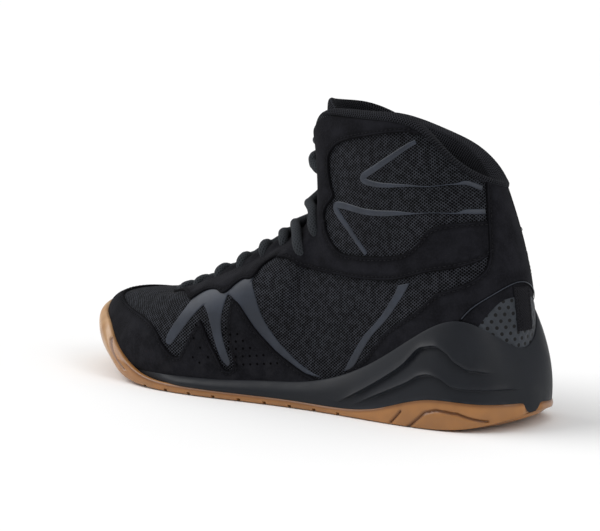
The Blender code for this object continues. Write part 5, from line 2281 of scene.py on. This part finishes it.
        marks = {
            "ankle_mark_upper": (
                (
                    (2.03, 0.95), (2.42, 0.89), (2.86, 0.825), (3.18, 0.765), (2.67, 0.757), (1.86, 0.795),
                    (1.15, 0.9), (0.83, 0.95), (0.5, 0.96),
                ),
                (2.2, 2.8, 3.2, 3.4, 2.2, 0.6, 0.6, 2.2, 2.6),
            ),
            "ankle_mark_lower": (
                (
                    (3.25, 0.485), (3.55, 0.565), (3.83, 0.65), (3.19, 0.645), (2.61, 0.655), (2.0, 0.68),
                    (1.19, 0.77), (0.88, 0.815), (0.5, 0.85),
                ),
                (2.4, 2.9, 3.6, 3.2, 2.6, 0.6, 0.6, 2.2, 2.6),
            ),
        }
        for name, (points, widths) in marks.items():
            label = f"{name}_{side.value}"
            pieces.append(self.ribbon(label, points, widths, 0.15 * MM, side, self.palette.film))
        return pieces

    def holes(self) -> Piece:
        """Punched holes of the side suede and the eyelets, as one mesh of shallow dishes painted near black
        as the shade in the holes.
        """
        spots = [(7.8, 0.335), (7.72, 0.25), (7.5, 0.19), (7.27, 0.135), (7.62, 0.13), (7.45, 0.1)]
        lines = ((6.6, 5.6), (6.72, 5.92), (6.83, 6.2), (6.96, 6.44), (7.06, 6.68), (7.14, 6.9))
        for k, (start, end) in enumerate(lines):
            spots += [(row, 0.095 + 0.043 * k) for row in np.arange(start - (k % 2) * 0.08, end, -0.16)]
        rows = [(u, t, self.punch) for u, t in spots] + [(e.row, e.share, self.eyelet) for e in EYELETS]
        points, faces, sides = [], [], 16
        for side, (row, share, radius) in ((side, row) for side in Side for row in rows):
            u, t = np.array([side.place(row)]), np.array([share])
            middle, normal = self.last.skin(u, t, self.hole_lift)[0], self.last.normal(u, t)[0]
            along = unit(self.last.jacobian(u, t)[0][0])
            across = np.cross(normal, along)
            start = len(points)
            for r, h in ((radius, 0.0), (radius * 0.7, -0.05 * MM)):
                for w in np.arange(sides) * 2 * math.pi / sides:
                    points.append(middle + (along * math.cos(w) + across * math.sin(w)) * r + normal * h)
            ring = np.arange(sides)
            far = (ring + 1) % sides
            faces += (start + np.stack([ring, far, sides + far, sides + ring], axis=1)).tolist()
            faces.append((start + sides + ring).tolist())
        piece = mesh_piece("punched_holes", np.array(points), faces)
        return finished(piece, self.palette.dark, "suede")

    def build(self) -> None:
        """All pieces, then the stitches of all seams."""
        self.toe_guard()
        for side in Side:
            self.eyestay(side)
            self.ankle_band(side)
            self.films(side)
        self.heel()
        self.holes()
        Stitches(self.last).build("stitches", self.seams, self.palette.thread)


@dataclass
class Lace:
    """One round cord from eyelet to eyelet over the tongue."""

    last: Last
    radius: float = 2.7 * MM  # The cord's radius
    sides: int = 14  # Faces round the cord

    def at(self, side: Side, row: float, share: float, lift: float, past: float = 0.0) -> Array:
        """A point lifted off the wall, moved past its share by a distance."""
        u = side.place(np.array([row]))
        return self.last.skin(u, share + past / self.last.run(u), lift)[0]

    def out(self, side: Side, eyelet: Eyelet) -> list[Array]:
        """From a hole along the facing and over the throat's edge.

        Args:
            side: The side of the shoe.
            eyelet: The hole.

        Returns:
            Points of the path.
        """
        path = [self.at(side, eyelet.row, eyelet.share, lift * MM) for lift in (-3.0, 0.4)]
        for f, lift, share in ((0.16, 2.7, 0.0), (0.5, 3.2, 0.5), (0.85, 2.9, 1.0)):
            row = eyelet.row + (eyelet.rim - eyelet.row) * f
            height = lift * MM + eyelet.rise * share
            path.append(self.at(side, row, eyelet.share + (1 - eyelet.share) * f, height))
        return path + [self.at(side, eyelet.rim - 0.04, 1.0, 1.2 * MM + eyelet.rise * 0.8, 2.6 * MM)]

    def into(self, side: Side, eyelet: Eyelet) -> list[Array]:
        """Under the throat's edge towards a hole."""
        ahead = self.at(side, eyelet.rim + 0.08, 1.0, -0.8 * MM, 4.0 * MM)
        return [ahead, self.at(side, eyelet.rim, 0.985, -3.4 * MM)]

    def crossing(self, low: Eyelet, high: Eyelet, height: float) -> Array:
        """The place over the tongue where two runs cross.

        Args:
            low: The lower hole.
            high: The upper hole.
            height: Height over the throat.

        Returns:
            The place.
        """
        row = (low.rim + high.rim) / 2
        rows = np.array([row, ROWS - row])
        middle = self.last.skin(rows, np.ones(2)).mean(axis=0)
        n = self.last.normal(rows, np.ones(2)).sum(axis=0)
        return middle + unit(n) * height

    def strand(self, start: Side) -> Array:
        """One half of the lace, from the lowest eyelets up to where it hides behind the facing.

        Args:
            start: The side of its first hole.

        Returns:
            Points of the path.
        """
        other = {Side.LATERAL: Side.MEDIAL, Side.MEDIAL: Side.LATERAL}
        side, path = start, []
        ends = EYELETS[1:] + (Eyelet(4.95, 4.95, 0.95),)
        for low, high in zip(EYELETS, ends):
            path += self.out(side, low)
            path.append(self.crossing(low, high, (0.8 if side is Side.MEDIAL else 3.8) * MM))
            side = other[side]
            path += self.into(side, high)
        return rounded(np.array(path), 10)

    def tube(self, name: str, path: Array) -> Piece:
        """A closed tube along a path, with a flat map in millimetres.

        Args:
            name: The piece's name.
            path: Points of its middle line.

        Returns:
            The new object.
        """
        along = unit(np.gradient(path, axis=0))
        frames, across = [], np.cross(along[0], (0.0, 0.0, 1.0))
        for direction in along:
            across = unit(across - direction * (across @ direction))
            frames.append((across, np.cross(direction, across)))
        turns = np.arange(self.sides) * 2 * math.pi / self.sides
        rings = np.array(
            [
                [place + (a * math.cos(w) + b * math.sin(w)) * self.radius for w in turns]
                for place, (a, b) in zip(path, frames)
            ]
        )
        run = run_of(path) / MM
        step = 2 * math.pi * self.radius / MM / self.sides
        i, j = np.meshgrid(np.arange(len(path) - 1), np.arange(self.sides), indexing="ij")
        corners = ((i, j), (i, j + 1), (i + 1, j + 1), (i + 1, j))
        flat = np.stack([np.stack([run[row], turn * step], axis=-1) for row, turn in corners], axis=-2)
        piece = mesh_piece(name, rings, hose_faces(len(path), self.sides))
        caps = np.zeros((2 * self.sides, 2))
        flat_map(piece, np.vstack([flat.reshape(-1, 2), caps]), by_corner=True)
        return piece

    def build(self, palette: Palette) -> Piece:
        """Both halves of the lace and the bar that joins them at the toe end.

        Args:
            palette: The finishes.

        Returns:
            The new piece.
        """
        first = EYELETS[0]
        bar = [self.at(Side.LATERAL, first.row + 0.12, first.share, lift * MM) for lift in (-1.0, 1.5)]
        for side, rows in ((Side.LATERAL, (0.25, 0.35)), (Side.MEDIAL, (0.35, 0.25))):
            bar += [self.at(side, first.rim + row, 1.0, 2.6 * MM) for row in rows]
        bar += [self.at(Side.MEDIAL, first.row + 0.12, first.share, lift * MM) for lift in (1.5, -1.0)]
        lines = [rounded(np.array(bar), 12), *(self.strand(side) for side in Side)]
        tubes = [self.tube("lace_run", evenly(line, line, 0.8 * MM)) for line in lines]
        piece = joined(tubes, "lace_cord")
        smoothed(piece, 60)
        return finished(piece, palette.lace, "lace_cord", "lace")


# Studio


@dataclass
class Studio:
    """Camera, floor and soft light."""

    target: tuple[float, float, float] = (0.0046, 0.0, 0.0667)  # The point that the camera looks at
    eye: tuple[float, float, float] = (-0.985, 1.2308, 0.3236)  # The camera's place
    lens: float = 181.74  # Focal length on a 36 mm sensor

    def build(self, palette: Palette) -> None:
        """Sets everything up.

        Args:
            palette: The finishes.
        """
        bpy.ops.object.select_all(action="DESELECT")
        bpy.ops.object.camera_add(location=self.eye)
        camera = bpy.context.object
        camera.rotation_euler = (Vector(self.target) - Vector(self.eye)).to_track_quat("-Z", "Y").to_euler()
        camera.data.lens = self.lens
        camera.data.sensor_width = 36.0
        camera.data.clip_start = 0.05
        camera.data.dof.use_dof = False
        bpy.context.scene.camera = camera
        bpy.context.scene.view_settings.view_transform = "Standard"
        bpy.ops.mesh.primitive_plane_add(size=30.0, location=(0, 0, -0.0002))
        floor = bpy.context.object
        floor.name = "studio_floor"
        floor.data.materials.append(palette.floor)
        world = bpy.context.scene.world or bpy.data.worlds.new("studio")
        bpy.context.scene.world = world
        world.use_nodes = True
        sky = world.node_tree.nodes["Background"]
        sky.inputs["Color"].default_value = (1.0, 1.0, 1.0, 1.0)
        sky.inputs["Strength"].default_value = 0.34
        for name, place, angle, power in (
            ("sun_toe", (1.0, 0.5, 1.0), 50.0, 2.0),
            ("sun_top", (-0.1, -0.1, 1.0), 80.0, 0.8),
            ("sun_heel", (-1.0, 0.1, 0.55), 40.0, 0.85),
        ):
            bpy.ops.object.light_add(type="SUN", location=place)
            light = bpy.context.object
            light.name = name
            light.data.angle = math.radians(angle)
            light.data.energy = power
            light.rotation_euler = Vector(place).to_track_quat("Z", "Y").to_euler()


CREASES = (
    Crease((9.6, 0.56), (10.6, 0.74), 3.0 * MM, 0.7 * MM),
    Crease((9.1, 0.5), (9.9, 0.78), 3.0 * MM, 0.5 * MM),
    Crease((5.6, 0.34), (5.1, 0.56), 4.0 * MM, 0.9 * MM),
    Crease((4.6, 0.3), (5.3, 0.44), 3.5 * MM, 0.6 * MM),
    Crease((2.1, 0.36), (3.0, 0.34), 3.0 * MM, 0.5 * MM),
)
SWELLS = (
    Swell((2.3, 0.75), (1.9, 0.25), 1.3 * MM),
    Swell((5.6, 0.38), (1.4, 0.22), 0.8 * MM),
    Swell((8.6, 1.0), (2.7, 0.42), -4.0 * MM),
    Swell((6.0, 1.0), (1.5, 0.3), -2.8 * MM),
    *(Swell((row, 0.96), (0.3, 0.11), 2.0 * MM) for row in LOBES),
)


def main() -> None:
    """Builds the shoe's pieces in order and reports each."""
    logging.basicConfig(level=logging.INFO, format="%(message)s")
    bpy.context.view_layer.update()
    palette = Palette()
    last = Last(creases=CREASES, swells=SWELLS)
    sole = Sole(last)
    sole.outsole(palette)
    sole.midsole(palette)
    sole.insole(palette)
    Shell(last).build(palette)
    Lining(last).build(palette)
    Tongue(last).build(palette)
    Overlays(last, palette).build()
    Lace(last).build(palette)
    Studio().build(palette)


if __name__ == "__main__":
    main()
